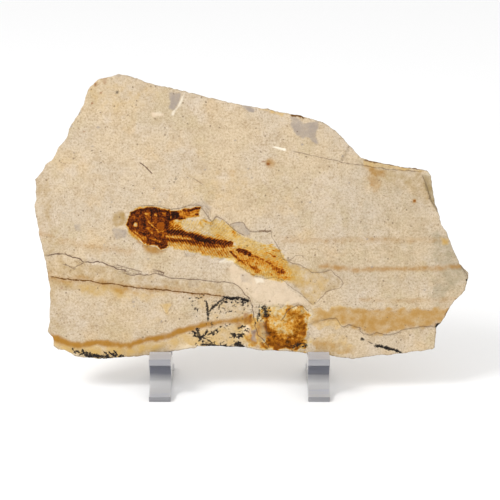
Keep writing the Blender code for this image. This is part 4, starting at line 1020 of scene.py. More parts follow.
class Fossil:
    """Where the fish's pigment and rays lie: the fields that the bone and the stone round it both read."""

    @staticmethod
    def outline(tips: bool) -> np.ndarray:
        """The fish's outline through its spines' tips, or through their roots.

        Args:
            tips: Whether it runs through the tips.

        Returns:
            The outline in slab millimetres, clockwise.
        """
        roots = (BACK_ROOTS, FAN_ROOTS, LOBE_ROOTS, BELLY_ROOTS)
        back, fan, lobe, belly = (BACK_TIPS, FAN_TIPS, LOBE_TIPS, BELLY_TIPS) if tips else roots
        edges = (HEAD_EDGE, FIN_EDGE, back, TAIL_TOP, fan, TAIL_END, lobe, TAIL_ROOT, belly)
        return np.concatenate([np.asarray(edge, float) for edge in edges])

    @staticmethod
    def spine_turns(u: np.ndarray, v: np.ndarray, spacing: float) -> np.ndarray:
        """Spines counted along the backbone: length along it, less 0.9 of the distance off it, by spacing.

        Args:
            u: U of each point.
            v: V of each point.
            spacing: Spacing of the spines in millimetres.

        Returns:
            The count, with a whole number on each spine's axis.
        """
        turns = np.zeros(u.shape)
        for route, rear in ((FRONT_BACKBONE, False), (REAR_BACKBONE, True)):
            line = spread_along(np.asarray(route, float), 30)
            signed, share = line_distance(u, v, line)
            length = np.hypot(*np.diff(line, axis=0).T).sum()
            here = (share * length - 0.9 * np.abs(signed)) / spacing
            turns = np.where((u >= STRETCH_CHANGE_U) == rear, here, turns)
        return turns

    @classmethod
    def rays(cls, u: np.ndarray, v: np.ndarray) -> tuple[np.ndarray, np.ndarray]:
        """The fine rays: how many spacings each point is along their row, and how strongly they show.

        Args:
            u: U of each point.
            v: V of each point.

        Returns:
            The count of spacings and the strength.
        """
        turns = np.zeros(u.shape)
        strength = np.zeros(u.shape)
        for area in RAY_AREAS:
            show = area.strength * smooth(0.0, 1.2, inside_distance(u, v, from_photo(area.outline)))
            if area.slope_deg is None:
                here = cls.spine_turns(u, v, area.spacing)
            else:
                slope = math.radians(area.slope_deg)
                here = (u * math.sin(slope) - v * math.cos(slope)) / area.spacing
            stronger = show > strength
            turns = np.where(stronger, here, turns)
            strength = np.where(stronger, show, strength)
        return turns, strength

    @staticmethod
    def tone(u: np.ndarray, v: np.ndarray) -> np.ndarray:
        """How dark the fossil is: from plain stone, each mark laid over the ones before it, its edge shaken.

        Args:
            u: U of each point.
            v: V of each point.

        Returns:
            The tone, 0 to 1, and 1.1 where there is only stone.
        """
        tone = np.full(u.shape, 1.1)
        wander = grain(u, v, 1.6, 72, 4)
        for marks, shake in ((FOSSIL_HAZE, 0.8), (FOSSIL_MARKS, 0.25)):
            for mark in marks:
                route = from_photo(mark.route)
                if mark.half_width:
                    depth = mark.half_width - np.abs(line_distance(u, v, route)[0])
                else:
                    depth = inside_distance(u, v, route)
                share = mark.strength * smooth(-mark.soft, mark.soft, depth + shake * wander)
                tone = tone * (1 - share) + mark.tone * share
        centre = from_photo((EYE,))[0]
        eye = np.hypot(u - centre[0], (v - centre[1]) * 0.95) + 0.12 * wander
        ring = smooth(2.3, 1.8, eye)
        tone = tone * (1 - 0.8 * ring) + 0.12 * 0.8 * ring
        pupil = smooth(1.35, 0.1, eye)
        return tone * (1 - pupil) + 0.96 * pupil

    @staticmethod
    def calm(u: np.ndarray, v: np.ndarray) -> np.ndarray:
        """1 on the smooth round gill plate, whose colour is even, falling to 0 at its rim."""
        centre = from_photo((GILL_PLATE,))[0]
        return smooth(2.3, 1.5, np.hypot(u - centre[0], v - centre[1]))

    @classmethod
    def stain(cls, piece: bpy.types.Object, u: np.ndarray, v: np.ndarray, facing: np.ndarray) -> None:
        """Stores the fossil's fields at a piece's points, and plain stone where it doesn't face forward.

        Args:
            piece: The slab or the fish.
            u: U of each point.
            v: V of each point.
            facing: 1 on points of the front and 0 on the back's.
        """
        turns, strength = cls.rays(u, v)
        paint(piece, "tone", np.where(facing > 0.5, cls.tone(u, v), 1.1))
        paint(piece, "calm", cls.calm(u, v))
        paint(piece, "ray_turns", turns)
        paint(piece, "ray_strength", strength * facing)


@dataclass(frozen=True)
class Limestone:
    """Lithographic limestone, split along its bedding: a fine, chalky, matt cream face with faint mottling.

    The grain of the real stone is under 0.1 mm; it is drawn at 0.9 mm and finer, so that it shows. Each cloud
    is a size in millimetres, a place in the noise, the noise's levels where it starts and is full, its
    strongest share, and its colour.
    """

    warm: str = "#CDB99B"
    clouds: tuple[tuple[float, float, float, float, float, str], ...] = (
        (26.0, 0.0, 0.40, 0.62, 0.8, "#C5B6A1"), (16.0, 3.1, 0.50, 0.68, 0.6, "#BEAC89"),
        (10.0, 5.7, 0.50, 0.68, 0.6, "#D1C2AF"), (14.0, 8.3, 0.54, 0.70, 0.45, "#CBAE82"),
        (4.2, 1.9, 0.46, 0.70, 0.5, "#B29C7D"), (1.7, 7.7, 0.46, 0.72, 0.4, "#AE997C"),
    )
    roughness: float = 0.9
    mottle_mm: float = 3.4
    grain_mm: float = 0.9
    crust_mm: float = 1.5
    growth_mm: float = 1.25
    ray_depth: float = 0.3

    def dress(self, piece: bpy.types.Object, stand: Stand) -> None:
        """Makes the stone's material and puts it on a piece.

        Args:
            piece: The slab, with its stains stored at its points.
            stand: How the slab stands, for its own coordinates.
        """
        material, node = new_material("limestone_split_along_bedding")
        place = stand.millimetres(node)
        mottle = node("TexNoise", None, {"Vector": place, "Scale": 1 / self.mottle_mm, "Detail": 4.0})
        fine = {"Vector": place, "Scale": 1 / self.grain_mm, "Detail": 4.0, "Roughness": 0.8}
        dust = node("TexNoise", None, fine)
        fray = node("Math", {"operation": "MULTIPLY_ADD"}, (mottle, 0.9, -0.45))
        colour = self.grit(node, self.body(node, place), place)
        colour = self.crust(node, colour, place)
        for tint, stain in STAINS.items():
            colour = self.stain(node, colour, fray, tint, stain)
        colour = self.layers(node, colour, place)
        colour = self.fossil(node, colour, place)
        # The crack ink is partly painted shade along the edges of the split steps
        # The growth lines' black ink is also painted shade along a small step, in a notch and in a hollow
        inks = (("brown", "#69461F", 3.2), ("crack", "#60483A", 3.0), ("growth_line", "#221E1C", 4.2))
        for name, ink, shake in inks:
            colour = self.line(node, colour, place, name, ink, shake)
        colour = node("Mix", MIX, {0: self.specks(node, place), 6: colour, 7: "#6A5642"}, 2)
        # Growth ink, with a little painted shade in a hollow of the crust
        colour = node("Mix", MIX, {0: self.growth(node, place), 6: colour, 7: "#2A2522"}, 2)
        height = node("Math", {"operation": "MULTIPLY"}, (dust, -0.8))
        height = node("Math", {"operation": "MULTIPLY_ADD"}, (mottle, 1.4, height))
        relief = node("Bump", None, {"Height": height, "Distance": 0.4 * MM, "Strength": 0.7})
        finish_surface(material, {
            "Base Color": colour, "Roughness": self.roughness, "Specular IOR Level": 0.08, "Normal": relief,
        })
        piece.data.materials.append(material)

    def body(self, node: AddNode, place: Socket) -> Socket:
        """The plain stone: clouds of several sizes and colours, then faint streaks along U.

        Args:
            node: Adds a node to the material.
            place: The shaded point in slab millimetres.

        Returns:
            The stone's colour.
        """
        colour: Any = self.warm
        for size, turn, low, high, most, cloud in self.clouds:
            drift = node("TexNoise", {"noise_dimensions": "4D"}, {
                "Vector": place, "W": turn, "Scale": 1 / size, "Detail": 3.0, "Roughness": 0.55,
            })
            share = node("MapRange", SMOOTH_STEP, (drift, low, high, 0.0, most))
            colour = node("Mix", MIX, {0: share, 6: colour, 7: cloud}, 2)
        drawn_out = node("Mapping", None, {"Vector": place, "Scale": (0.12, 1.4, 1.4)})
        streaks = node("TexNoise", None, {"Vector": drawn_out, "Scale": 1.0, "Detail": 3.0})
        streaked = node("MapRange", SMOOTH_STEP, (streaks, 0.5, 0.75, 0.0, 0.25))
        return node("Mix", MIX, {0: streaked, 6: colour, 7: "#AC9575"}, 2)

    def grit(self, node: AddNode, colour: Socket, place: Socket) -> Socket:
        """Darkens and lightens a colour by the stone's finest grain.

        Args:
            node: Adds a node to the material.
            colour: The colour so far.
            place: The shaded point in slab millimetres.

        Returns:
            The colour with its grain.
        """
        fine = {"Vector": place, "Scale": 1 / self.grain_mm, "Detail": 4.0, "Roughness": 0.8}
        dust = node("TexNoise", None, fine)
        shaded = node("MapRange", SMOOTH_STEP, (dust, 0.46, 0.74, 0.0, 0.68))
        flecked = node("MapRange", SMOOTH_STEP, (dust, 0.64, 0.72, 0.0, 0.6))
        lit = node("MapRange", SMOOTH_STEP, (dust, 0.5, 0.3, 0.0, 0.32))
        colour = node("Mix", MULTIPLY, {0: shaded, 6: colour, 7: "#AA9070"}, 2)
        colour = node("Mix", MULTIPLY, {0: flecked, 6: colour, 7: "#96805F"}, 2)
        return node("Mix", MIX, {0: lit, 6: colour, 7: "#EBDCC0"}, 2)

    def fossil(self, node: AddNode, colour: Socket, place: Socket) -> Socket:
        """Lays the fossil over a colour: iron stain where its tone is high, and opaque bone where it is low.

        The stored tone is shaken by two grains, and darkened along the fine rays, which are the crests of the
        sine of the stored count of ray spacings.

        Args:
            node: Adds a node to the material.
            colour: The stone's colour.
            place: The shaded point in slab millimetres.

        Returns:
            The colour with the fossil on it.
        """
        tone = node("Attribute", {"attribute_name": "tone"}, output="Fac")
        turns = node("Attribute", {"attribute_name": "ray_turns"}, output="Fac")
        strength = node("Attribute", {"attribute_name": "ray_strength"}, output="Fac")
        calm = node("Attribute", {"attribute_name": "calm"}, output="Fac")
        fine = node("TexNoise", None, {"Vector": place, "Scale": 1.5, "Detail": 4.0, "Roughness": 0.7})
        coarse = node("TexNoise", None, {"Vector": place, "Scale": 0.6, "Detail": 3.0, "Roughness": 0.6})
        grains = node("Math", {"operation": "MULTIPLY_ADD"}, (coarse, 0.65, fine))
        centred = node("Math", {"operation": "SUBTRACT"}, (grains, 0.825))
        depth = node("MapRange", SMOOTH_STEP, (tone, 1.05, 0.55, 0.1, 1.15))
        depth = node("Math", {"operation": "MULTIPLY_ADD"}, (calm, -0.95, depth))
        shaken = node("Math", {"operation": "MULTIPLY_ADD"}, (centred, depth, tone))
        wander = node("Math", {"operation": "MULTIPLY"}, (coarse, 7.0))
        phase = node("Math", {"operation": "MULTIPLY_ADD"}, (turns, math.tau, wander))
        wave = node("Math", {"operation": "SINE"}, (phase,))
        crest = node("MapRange", SMOOTH_STEP, (wave, -0.1, 0.8, 0.0, -self.ray_depth))
        patchy = node("MapRange", SMOOTH_STEP, (fine, 0.36, 0.6, 0.35, 1.0))
        shown = node("Math", {"operation": "MULTIPLY"}, (strength, patchy))
        shaken = node("Math", {"operation": "MULTIPLY_ADD"}, (crest, shown, shaken))
        stain = node("ValToRGB", {"stops": (
            (0.4, "#E0A040"), (0.55, "#F0BC55"), (0.66, "#F8D478"), (0.78, "#FCE7A4"), (0.9, "#FEF6D6"),
            (1.0, "#FFFFFF"),
        )}, (shaken,))
        bone = node("ValToRGB", {"stops": (
            (0.0, "#200C03"), (0.12, "#461A04"), (0.25, "#703105"), (0.38, "#8E4805"), (0.5, "#BC7414"),
            (0.62, "#D09434"),
        )}, (shaken,))
        opaque = node("MapRange", SMOOTH_STEP, (shaken, 0.66, 0.46))
        stained = node("Mix", MULTIPLY, {0: 1.0, 6: colour, 7: stain}, 2)
        return node("Mix", MIX, {0: opaque, 6: stained, 7: bone}, 2)

    def stain(self, node: AddNode, colour: Socket, fray: Socket, tint: Tint, stain: str) -> Socket:
        """Mixes one stain in where its field is, with an edge that the mottling frays.

        Args:
            node: Adds a node to the material.
            colour: The colour so far.
            fray: The mottling, about zero.
            tint: The stain.
            stain: The stain's hex colour.

        Returns:
            The colour with the stain.
        """
        amount = node("Attribute", {"attribute_name": tint.value}, output="Fac")
        present = node("MapRange", SMOOTH_STEP, (amount, 0.0, 0.3))
        frayed = node("Math", {"operation": "MULTIPLY_ADD"}, (fray, present, amount))
        share = node("MapRange", SMOOTH_STEP, (frayed, 0.0, 1.0))
        return node("Mix", MIX, {0: share, 6: colour, 7: stain}, 2)

    def line(self, node: AddNode, colour: Socket, place: Socket, name: str, ink: str, shake: float) -> Socket:
        """Mixes a thin marking in where its signed distance, shaken by noise, is under its half width.

        Args:
            node: Adds a node to the material.
            colour: The colour so far.
            place: The shaded point in slab millimetres.
            name: Name of the marking's stored fields.
            ink: Its hex colour.
            shake: How much noise thickens, thins and breaks it, in half widths.

        Returns:
            The colour with the marking.
        """
        across = node("Attribute", {"attribute_name": name + "_across"}, output="Fac")
        strength = node("Attribute", {"attribute_name": name + "_strength"}, output="Fac")
        ragged = node("TexNoise", None, {"Vector": place, "Scale": 0.9, "Detail": 4.0, "Roughness": 0.7})
        away = node("Math", {"operation": "ABSOLUTE"}, (across,))
        centred = node("Math", {"operation": "SUBTRACT"}, (ragged, 0.5))
        wavering = node("Math", {"operation": "MULTIPLY_ADD"}, (centred, shake, away))
        inked = node("MapRange", SMOOTH_STEP, (wavering, 1.35, 0.5))
        share = node("Math", {"operation": "MULTIPLY"}, (inked, strength))
        return node("Mix", MIX, {0: share, 6: colour, 7: ink}, 2)

    def specks(self, node: AddNode, place: Socket) -> Socket:
        """Scattered dark specks: points of two random scatters, each grown to its own small radius.

        Args:
            node: Adds a node to the material.
            place: The shaded point in slab millimetres.

        Returns:
            How strongly a speck shows.
        """
        share: Any = 0.0
        uneven = node("TexNoise", None, {"Vector": place, "Scale": 1.4}, "Color")
        moved = node("VectorMath", {"operation": "MULTIPLY_ADD"}, (uneven, (0.8, 0.8, 0.8), place))
        for spacing, least, most in ((2.0, 0.62, 0.25), (4.2, 0.55, 0.12)):
            cells = {"Vector": moved, "Scale": 1.0 / spacing}
            chance = node("SeparateColor", None, (node("TexVoronoi", None, cells, "Color"),))
            distance = node("TexVoronoi", None, cells, "Distance")
            radius = node("MapRange", SMOOTH_STEP, (chance, least, 1.0, 0.0, most))
            within = node("Math", {"operation": "SUBTRACT"}, (radius, distance))
            grown = node("MapRange", SMOOTH_STEP, (within, 0.0, 0.07, 0.0, 0.62))
            share = node("Math", {"operation": "MAXIMUM"}, (share, grown))
        return share

    def growth(self, node: AddNode, place: Socket) -> Socket:
        """Black branching growths, and a little painted shade in a hollow of the crust: blots of noise that
        join up as the stored cover rises.

        Args:
            node: Adds a node to the material.
            place: The shaded point in slab millimetres.

        Returns:
            How strongly the growth shows.
        """
        cover = node("Attribute", {"attribute_name": "growth"}, output="Fac")
        blots = node("TexNoise", None, {
            "Vector": place, "Scale": 1 / self.growth_mm, "Detail": 4.0, "Roughness": 0.7,
        })
        level = node("Math", {"operation": "MULTIPLY_ADD"}, (cover, 0.55, blots))
        return node("MapRange", SMOOTH_STEP, (level, 0.80, 0.86))

    def crust(self, node: AddNode, colour: Socket, place: Socket) -> Socket:
        """The rusty crust: grains from dark brown over orange to pale yellow, about a stored tone.

        Args:
            node: Adds a node to the material.
            colour: The colour so far.
            place: The shaded point in slab millimetres.

        Returns:
            The colour with the crust.
        """
        cover = node("Attribute", {"attribute_name": "crust"}, output="Fac")
        middle = node("Attribute", {"attribute_name": "crust_tone"}, output="Fac")
        grains = node("TexNoise", None, {
            "Vector": place, "Scale": 1 / self.crust_mm, "Detail": 4.0, "Roughness": 0.65,
        })
        thinning = node("Math", {"operation": "MULTIPLY_ADD"}, (cover, -0.42, 0.42))
        tone = node("Math", {"operation": "ADD"}, (middle, thinning))
        tone = node("Math", {"operation": "MULTIPLY_ADD"}, (grains, 1.15, tone))
        tone = node("Math", {"operation": "SUBTRACT"}, (tone, 0.575))
        rust = node("ValToRGB", {"stops": (
            (0.0, "#2A1706"), (0.18, "#512E08"), (0.34, "#82480A"), (0.48, "#A46616"), (0.6, "#C08A36"),
            (0.72, "#C8A462"), (0.84, "#CCB588"), (1.0, "#D8C9A8"),
        )}, (tone,))
        share = node("MapRange", SMOOTH_STEP, (cover, 0.05, 0.5))
        return node("Mix", MIX, {0: share, 6: colour, 7: rust}, 2)

    def layers(self, node: AddNode, colour: Socket, place: Socket) -> Socket:
        """Lines the broken edge with thin bedding layers, and browns it.

        Args:
            node: Adds a node to the material.
            colour: The colour so far.
            place: The shaded point in slab millimetres.

        Returns:
            The colour with the broken edge's layers.
        """
        edge = node("Attribute", {"attribute_name": "edge"}, output="Fac")
        squeezed = node("Mapping", None, {"Vector": place, "Scale": (0.04, 0.04, 1.6)})
        bands = node("TexNoise", None, {"Vector": squeezed, "Scale": 1.0, "Detail": 4.0, "Roughness": 0.7})
        bedding = node("ValToRGB", {"stops": (
            (0.3, "#86663F"), (0.45, "#BFA278"), (0.6, "#D6C09A"), (0.75, "#A68252"),
        )}, (bands,))
        return node("Mix", MIX, {0: edge, 6: colour, 7: self.grit(node, bedding, place)}, 2)


@dataclass
class Slab:
    """The stone slab: a front face with its split layers and stains, a layered edge, and a plain back."""

    stand: Stand
    thickness: float = 9.5
    rows: int = 201
    columns: int = 301
    outline: Route = SLAB_OUTLINE
    ragged: float = 0.3
    lump_seat: float = -0.7
    back_flake_depth: float = 1.3
    layer_depths: tuple[float, ...] = (0.15, 0.35, 0.6, 1.3, 2.0, 2.7, 3.0, 4.2, 5.7, 6.1, 7.4, 8.8, 9.3)
    layer_insets: tuple[float, ...] = (0.22, 0.08, 0.0, 0.06, 0.1, 0.1, 0.6, 0.45, 0.3, 1.0, 0.95, 0.9, 1.4)
    back_inset: float = 1.8
    relax_rounds: int = 160

    def rim(self) -> tuple[np.ndarray, list[np.ndarray]]:
        """The broken outline as an anticlockwise loop of points, roughened along its normals by noise.

        Returns:
            The loop, and the same points as bottom, right, top and left sides.
        """
        outline = np.asarray(self.outline, float)
        count = len(outline)
        sides = []
        turns = (
            (BOTTOM_LEFT, BOTTOM_RIGHT, self.columns), (BOTTOM_RIGHT, TOP_RIGHT, self.rows),
            (TOP_RIGHT, TOP_LEFT, self.columns), (TOP_LEFT + count, BOTTOM_LEFT, self.rows),
        )
        for first, last, points in turns:
            route = outline[np.arange(first, last - 1, -1) % count]
            sides.append(spread_along(route, points)[:-1])
        loop = np.concatenate(sides)
        normals = loop_normals(loop, 3)
        coarse = grain(loop[:, 0], loop[:, 1], 3.4, 11)
        fine = grain(loop[:, 0], loop[:, 1], 1.1, 12, 2)
        loop = loop + normals * (self.ragged * coarse + 0.4 * self.ragged * fine)[:, None]
        return loop, self.sides_of(loop, self.rows, self.columns)

    @staticmethod
    def sides_of(loop: np.ndarray, rows: int, columns: int) -> list[np.ndarray]:
        """Cuts an anticlockwise loop into four sides, each running right or up.

        Args:
            loop: The loop, from its lower left corner.
            rows: How many points the left and right sides have.
            columns: How many points the bottom and top have.

        Returns:
            Bottom, right, top and left.
        """
        closed = np.vstack([loop, loop[:1]])
        cuts = np.cumsum([0, columns - 1, rows - 1, columns - 1, rows - 1])
        bottom, right, top, left = (closed[a:b + 1] for a, b in zip(cuts[:-1], cuts[1:]))
        return [bottom, right, top[::-1], left[::-1]]

    def plan(self, sides: Sequence[np.ndarray]) -> np.ndarray:
        """A grid of U and V inside four sides: opposite sides blended, less the corners, then relaxed.

        Args:
            sides: Bottom, right, top and left.

        Returns:
            The grid, as rows by columns by two.
        """
        bottom, right, top, left = sides
        across = np.linspace(0.0, 1.0, len(bottom))[None, :, None]
        up = np.linspace(0.0, 1.0, len(left))[:, None, None]
        grid = (1 - up) * bottom[None] + up * top[None]
        grid = grid + (1 - across) * left[:, None] + across * right[:, None]
        low = (1 - across) * bottom[0] + across * bottom[-1]
        high = (1 - across) * top[0] + across * top[-1]
        grid = grid - (1 - up) * low - up * high
        for _ in range(self.relax_rounds):
            around = grid[:-2, 1:-1] + grid[2:, 1:-1] + grid[1:-1, :-2] + grid[1:-1, 2:]
            grid[1:-1, 1:-1] = around / 4
        return grid

    def front_level(self, u: np.ndarray, v: np.ndarray) -> np.ndarray:
        """The front's level: gentle noise, less each split layer's depth, plus lumps, less crack grooves.

        Args:
            u: U of each point.
            v: V of each point.

        Returns:
            W of each point.
        """
        level = 0.1 * grain(u, v, 34.0, 21, 3) + 0.07 * grain(u, v, 7.0, 22, 3)
        level = level + 0.035 * grain(u, v, 1.6, 23, 2)
        depth = np.zeros(u.shape)
        wander = 0.4 * grain(u, v, 2.4, 24, 3)
        for name, (drop, outline) in FRONT_STEPS.items():
            inside = inside_distance(u, v, np.asarray(outline, float))
            slope = 0.3 if name == "fish_recess" else 0.45
            depth = np.maximum(depth, drop * smooth(-slope, slope, inside + wander))
        level = level - depth
        rough = smooth(-1.0, 1.5, inside_distance(u, v, np.asarray(FRONT_STEPS["rough_hollow"][1], float)))
        level += rough * (0.28 * grain(u, v, 2.0, 25, 3) - 0.05)
        shake = 0.25 * grain(u, v, 1.7, 26, 3)
        for centre_u, centre_v, width, height in LUMPS:
            across = (u - centre_u) / width
            up = (v - centre_v) / (width * 0.85)
            dome = self.lump_seat + height * np.sqrt(np.clip(1.0 - across ** 2 - up ** 2, 0.0, None))
            on_lump = across ** 2 + up ** 2 < 1.0
            level = np.where(on_lump, np.maximum(level, dome + shake), level)
        across, strength = stroke_fields(u + 0.25 * shake, v - 0.25 * shake, CRACKS_AND_STEP_SHADE)
        level -= 0.22 * strength * smooth(2.2, 0.0, np.abs(across))
        return level

    def back_level(self, u: np.ndarray, v: np.ndarray) -> np.ndarray:
        """The back face's level: minus the thickness, with rough cleavage and one lost flake.

        Args:
            u: U of each point.
            v: V of each point.

        Returns:
            W of each point.
        """
        waves = 0.22 * grain(u, v, 26.0, 31, 4)
        shelf = 0.3 * smooth(-0.04, 0.04, grain(u, v, 40.0, 32, 4) - 0.15)
        inside = inside_distance(u, v, np.asarray(BACK_FLAKE, float)) + 0.8 * grain(u, v, 4.0, 33, 3)
        flake = self.back_flake_depth * smooth(-0.5, 0.5, inside)
        return -self.thickness + np.clip(waves, 0.0, None) + shelf + flake

    def build(self) -> bpy.types.Object:
        """Builds the slab and stores its stains.

        Returns:
            The slab's object.
        """
        loop, sides = self.rim()
        grid = self.plan(sides)
        u, v = grid[..., 0].ravel(), grid[..., 1].ravel()
        level = self.front_level(u, v)
        rim = rim_of(self.rows, self.columns)
        points = [np.stack([u, v, level], axis=1)]
        normals = loop_normals(loop, 8)
        start = -level[rim]
        for depth, inset in zip(self.layer_depths, self.layer_insets):
            shake = 0.22 * grain(loop[:, 0] + 40 * depth, loop[:, 1], 3.0, 41, 3) * min(depth, 1.0)
            ring = loop + normals * (shake - inset)[:, None]
            down = start + (self.thickness - start) * depth / self.thickness
            points.append(np.column_stack([ring, -down]))
        last = loop - normals * self.back_inset
        half_rows, half_columns = (self.rows + 1) // 2, (self.columns + 1) // 2
        back = self.plan(self.sides_of(last[::2], half_rows, half_columns))
        back_u, back_v = back[..., 0].ravel(), back[..., 1].ravel()
        first_back = sum(len(block) for block in points)
        points.append(np.stack([back_u, back_v, self.back_level(back_u, back_v)], axis=1))
        every = np.concatenate(points)
        blocks = self.faces(rim, first_back, every, loop)
        piece = new_piece("slab_stone", self.clipped(self.stand.place(every)), blocks)
        self.stain(piece, every, len(u), first_back)
        return piece

    def faces(self, rim: np.ndarray, first_back: int, every: np.ndarray, loop: np.ndarray) -> list[FaceBlock]:
        """Faces of the front, the layered edge and the back, each with its own area of the bake sheet.

        Args:
            rim: Indices round the front's rim.
            first_back: Index of the back's first point.
            every: All points in slab millimetres.
            loop: The broken outline; not used.

        Returns:
            The slab's faces.
        """
        across, up = every[:, 0] + 97.0, every[:, 1] + 3.0
        front_sheet = np.stack([0.003 + across / 196.0, 0.003 + up / 196.0], axis=1)
        back_sheet = np.stack([0.51 + across / 408.0, 0.665 + up / 408.0], axis=1)
        front = sheet_faces(self.rows, self.columns)
        count = len(rim)
        half_rows, half_columns = (self.rows + 1) // 2, (self.columns + 1) // 2
        back = sheet_faces(half_rows, half_columns, first_back)[:, ::-1]
        blocks = [FaceBlock(front, front_sheet[front]), FaceBlock(back, back_sheet[back])]
        first_ring = self.rows * self.columns + np.arange(count)
        rings = [rim] + [first_ring + number * count for number in range(len(self.layer_depths))]
        depths = (0.0,) + self.layer_depths
        here = np.arange(count)
        for number, (near, far) in enumerate(zip(rings[:-1], rings[1:])):
            quads = np.stack([near, far, np.roll(far, -1), np.roll(near, -1)], axis=1)
            along = 0.005 + 0.49 * np.stack([here, here, here + 1, here + 1], axis=1) / count
            high, low = (0.70 + 0.25 * depths[number + step] / self.thickness for step in (0, 1))
            rise = np.broadcast_to(np.array([high, low, low, high]), along.shape)
            blocks.append(FaceBlock(quads, np.stack([along, rise], axis=-1)))
        coarse = rim_of(half_rows, half_columns, first_back)
        fine = rings[-1]
        even, odd, after = fine[::2], fine[1::2], np.roll(fine[::2], -1)
        following = np.roll(coarse, -1)
        turns = np.concatenate([
            np.stack([even, coarse, odd], axis=1), np.stack([odd, coarse, following], axis=1),
            np.stack([odd, following, after], axis=1),
        ])
        blocks.append(FaceBlock(turns, back_sheet[turns]))
        return blocks

    @staticmethod
    def clipped(points: np.ndarray) -> np.ndarray:
        """Points kept inside the box of the slab's own solid."""
        low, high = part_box("stone_slab")
        return np.clip(points, np.array(low), np.array(high))

    def stain(self, piece: bpy.types.Object, every: np.ndarray, front: int, first_back: int) -> None:
        """Stores the stains and thin markings at the slab's points.

        Args:
            piece: The slab's object.
            every: All points in slab millimetres.
            front: How many points the front face has.
            first_back: Index of the back's first point.
        """
        u, v = every[:, 0], every[:, 1]
        facing = np.ones(len(every))
        facing[first_back:] = 0.0
        wander = grain(u, v, 3.0, 51, 4)
        Fossil.stain(piece, u, v, facing)
        paint(piece, "growth", facing * self.growth_field(u, v))
        crust, tone = self.crust_field(u, v, grain(u, v, 2.6, 56, 4))
        paint(piece, "crust", facing * crust)
        paint(piece, "crust_tone", tone)
        for tint in Tint:
            paint(piece, tint.value, facing * self.tint_field(tint, u, v, wander))
        shaken_u, shaken_v = u + 0.3 * grain(u, v, 2.2, 54, 3), v + 0.3 * grain(u, v, 2.2, 55, 3)
        # The crack fields hold painted shade along split steps as well as real cracks
        # The growth-line fields hold a few lines of painted shade as well
        for name, strokes in (("crack", CRACKS_AND_STEP_SHADE), ("brown", BROWN_LINES), ("growth_line", GROWTH_AND_SHADE_LINES)):
            across, strength = stroke_fields(shaken_u, shaken_v, strokes)
            paint(piece, name + "_across", across)
            paint(piece, name + "_strength", facing * strength)
        edge = np.zeros(len(every))
        edge[front:first_back] = 1.0
        paint(piece, "edge", edge)

    @staticmethod
    def growth_field(u: np.ndarray, v: np.ndarray) -> np.ndarray:
        """How thickly the black growths, and a little painted shade in a hollow, cover: each route's
        strength, falling off past its half width.

        Args:
            u: U of each point.
            v: V of each point.

        Returns:
            The cover, 0 to 1.
        """
        field = np.zeros(u.shape)
        shaken_u, shaken_v = u + 0.6 * grain(u, v, 2.0, 52, 3), v + 0.6 * grain(u, v, 2.0, 53, 3)
        for stroke in GROWTHS_AND_HOLLOW_SHADE:
            distance = np.abs(line_distance(shaken_u, shaken_v, from_photo(stroke.route))[0])
            spread = smooth(2.4 * stroke.half_width, 0.3 * stroke.half_width, distance)
            field = np.maximum(field, stroke.strength * spread)
        return field

    @staticmethod
    def crust_field(u: np.ndarray, v: np.ndarray, wander: np.ndarray) -> tuple[np.ndarray, np.ndarray]:
        """Where the rusty crust is, and its tone, each area laid over the ones before it.

        Args:
            u: U of each point.
            v: V of each point.
            wander: Noise that makes the edges wander.

        Returns:
            The crust's cover and its tone, both 0 to 1.
        """
        cover = np.zeros(u.shape)
        tone = np.full(u.shape, 0.6)
        for outline, level, soft in CRUSTS:
            share = smooth(-soft, soft, inside_distance(u, v, from_photo(outline)) + 2.0 * wander)
            cover = np.maximum(cover, share)
            tone = tone * (1 - share) + level * share
        return cover, tone

    @staticmethod
    def tint_field(tint: Tint, u: np.ndarray, v: np.ndarray, wander: np.ndarray) -> np.ndarray:
        """How strongly one stain shows: the strongest of its patches, spots and bands at each point.

        Args:
            tint: The stain.
            u: U of each point.
            v: V of each point.
            wander: Noise that makes the edges wander.

        Returns:
            The stain's field, 0 to 1.
        """
        field = np.zeros(u.shape)
        for patch in PATCHES:
            if patch.tint is tint:
                inside = inside_distance(u, v, from_photo(patch.outline)) + patch.ragged * wander
                field = np.maximum(field, patch.strength * smooth(-patch.soft, patch.soft, inside))
        for spot in SPOTS:
            if spot.tint is tint:
                centre = from_photo((spot.centre,))[0]
                across = (u - centre[0]) / (spot.half[0] * PIXEL_WIDTH_MM)
                up = (v - centre[1]) / (spot.half[1] * PIXEL_HEIGHT_MM)
                field = np.maximum(field, spot.strength * smooth(1.6, 0.5, np.hypot(across, up)))
        if tint is Tint.OCHRE:
            for route, half_width, strength in BANDS:
                distance = np.abs(line_distance(u, v, from_photo(route))[0]) + 0.5 * wander
                field = np.maximum(field, strength * smooth(half_width * 1.6, 0.0, distance))
            haze = np.abs(line_distance(u, v, from_photo(BROWN_LINES[0].route))[0])
            field = np.maximum(field, 0.45 * smooth(3.0, 0.0, haze + 0.8 * wander))
        return field


@dataclass(frozen=True)
class MineralisedBone:
    """Fossil bone and scale, replaced by iron-rich mineral: dark brown to amber, with a faint waxy sheen."""

    stone: Limestone
    roughness: float = 0.65
    fleck_mm: float = 0.6

    def dress(self, piece: bpy.types.Object, stand: Stand) -> None:
        """Makes the bone's material from the fields stored at its points, and puts it on the fish.

        Args:
            piece: The fish.
            stand: How the slab stands, for its own coordinates.
        """
        material, node = new_material("bone_mineralised_in_limestone")
        place = stand.millimetres(node)
        colour = self.stone.grit(node, self.stone.body(node, place), place)
        colour = self.stone.fossil(node, colour, place)
        fleck = node("TexNoise", None, {
            "Vector": place, "Scale": 1 / self.fleck_mm, "Detail": 4.0, "Roughness": 0.65,
        })
        relief = node("Bump", None, {"Height": fleck, "Distance": 0.25 * MM, "Strength": 0.7})
        finish_surface(material, {
            "Base Color": colour, "Roughness": self.roughness, "Specular IOR Level": 0.08, "Normal": relief,
        })
        piece.data.materials.append(material)


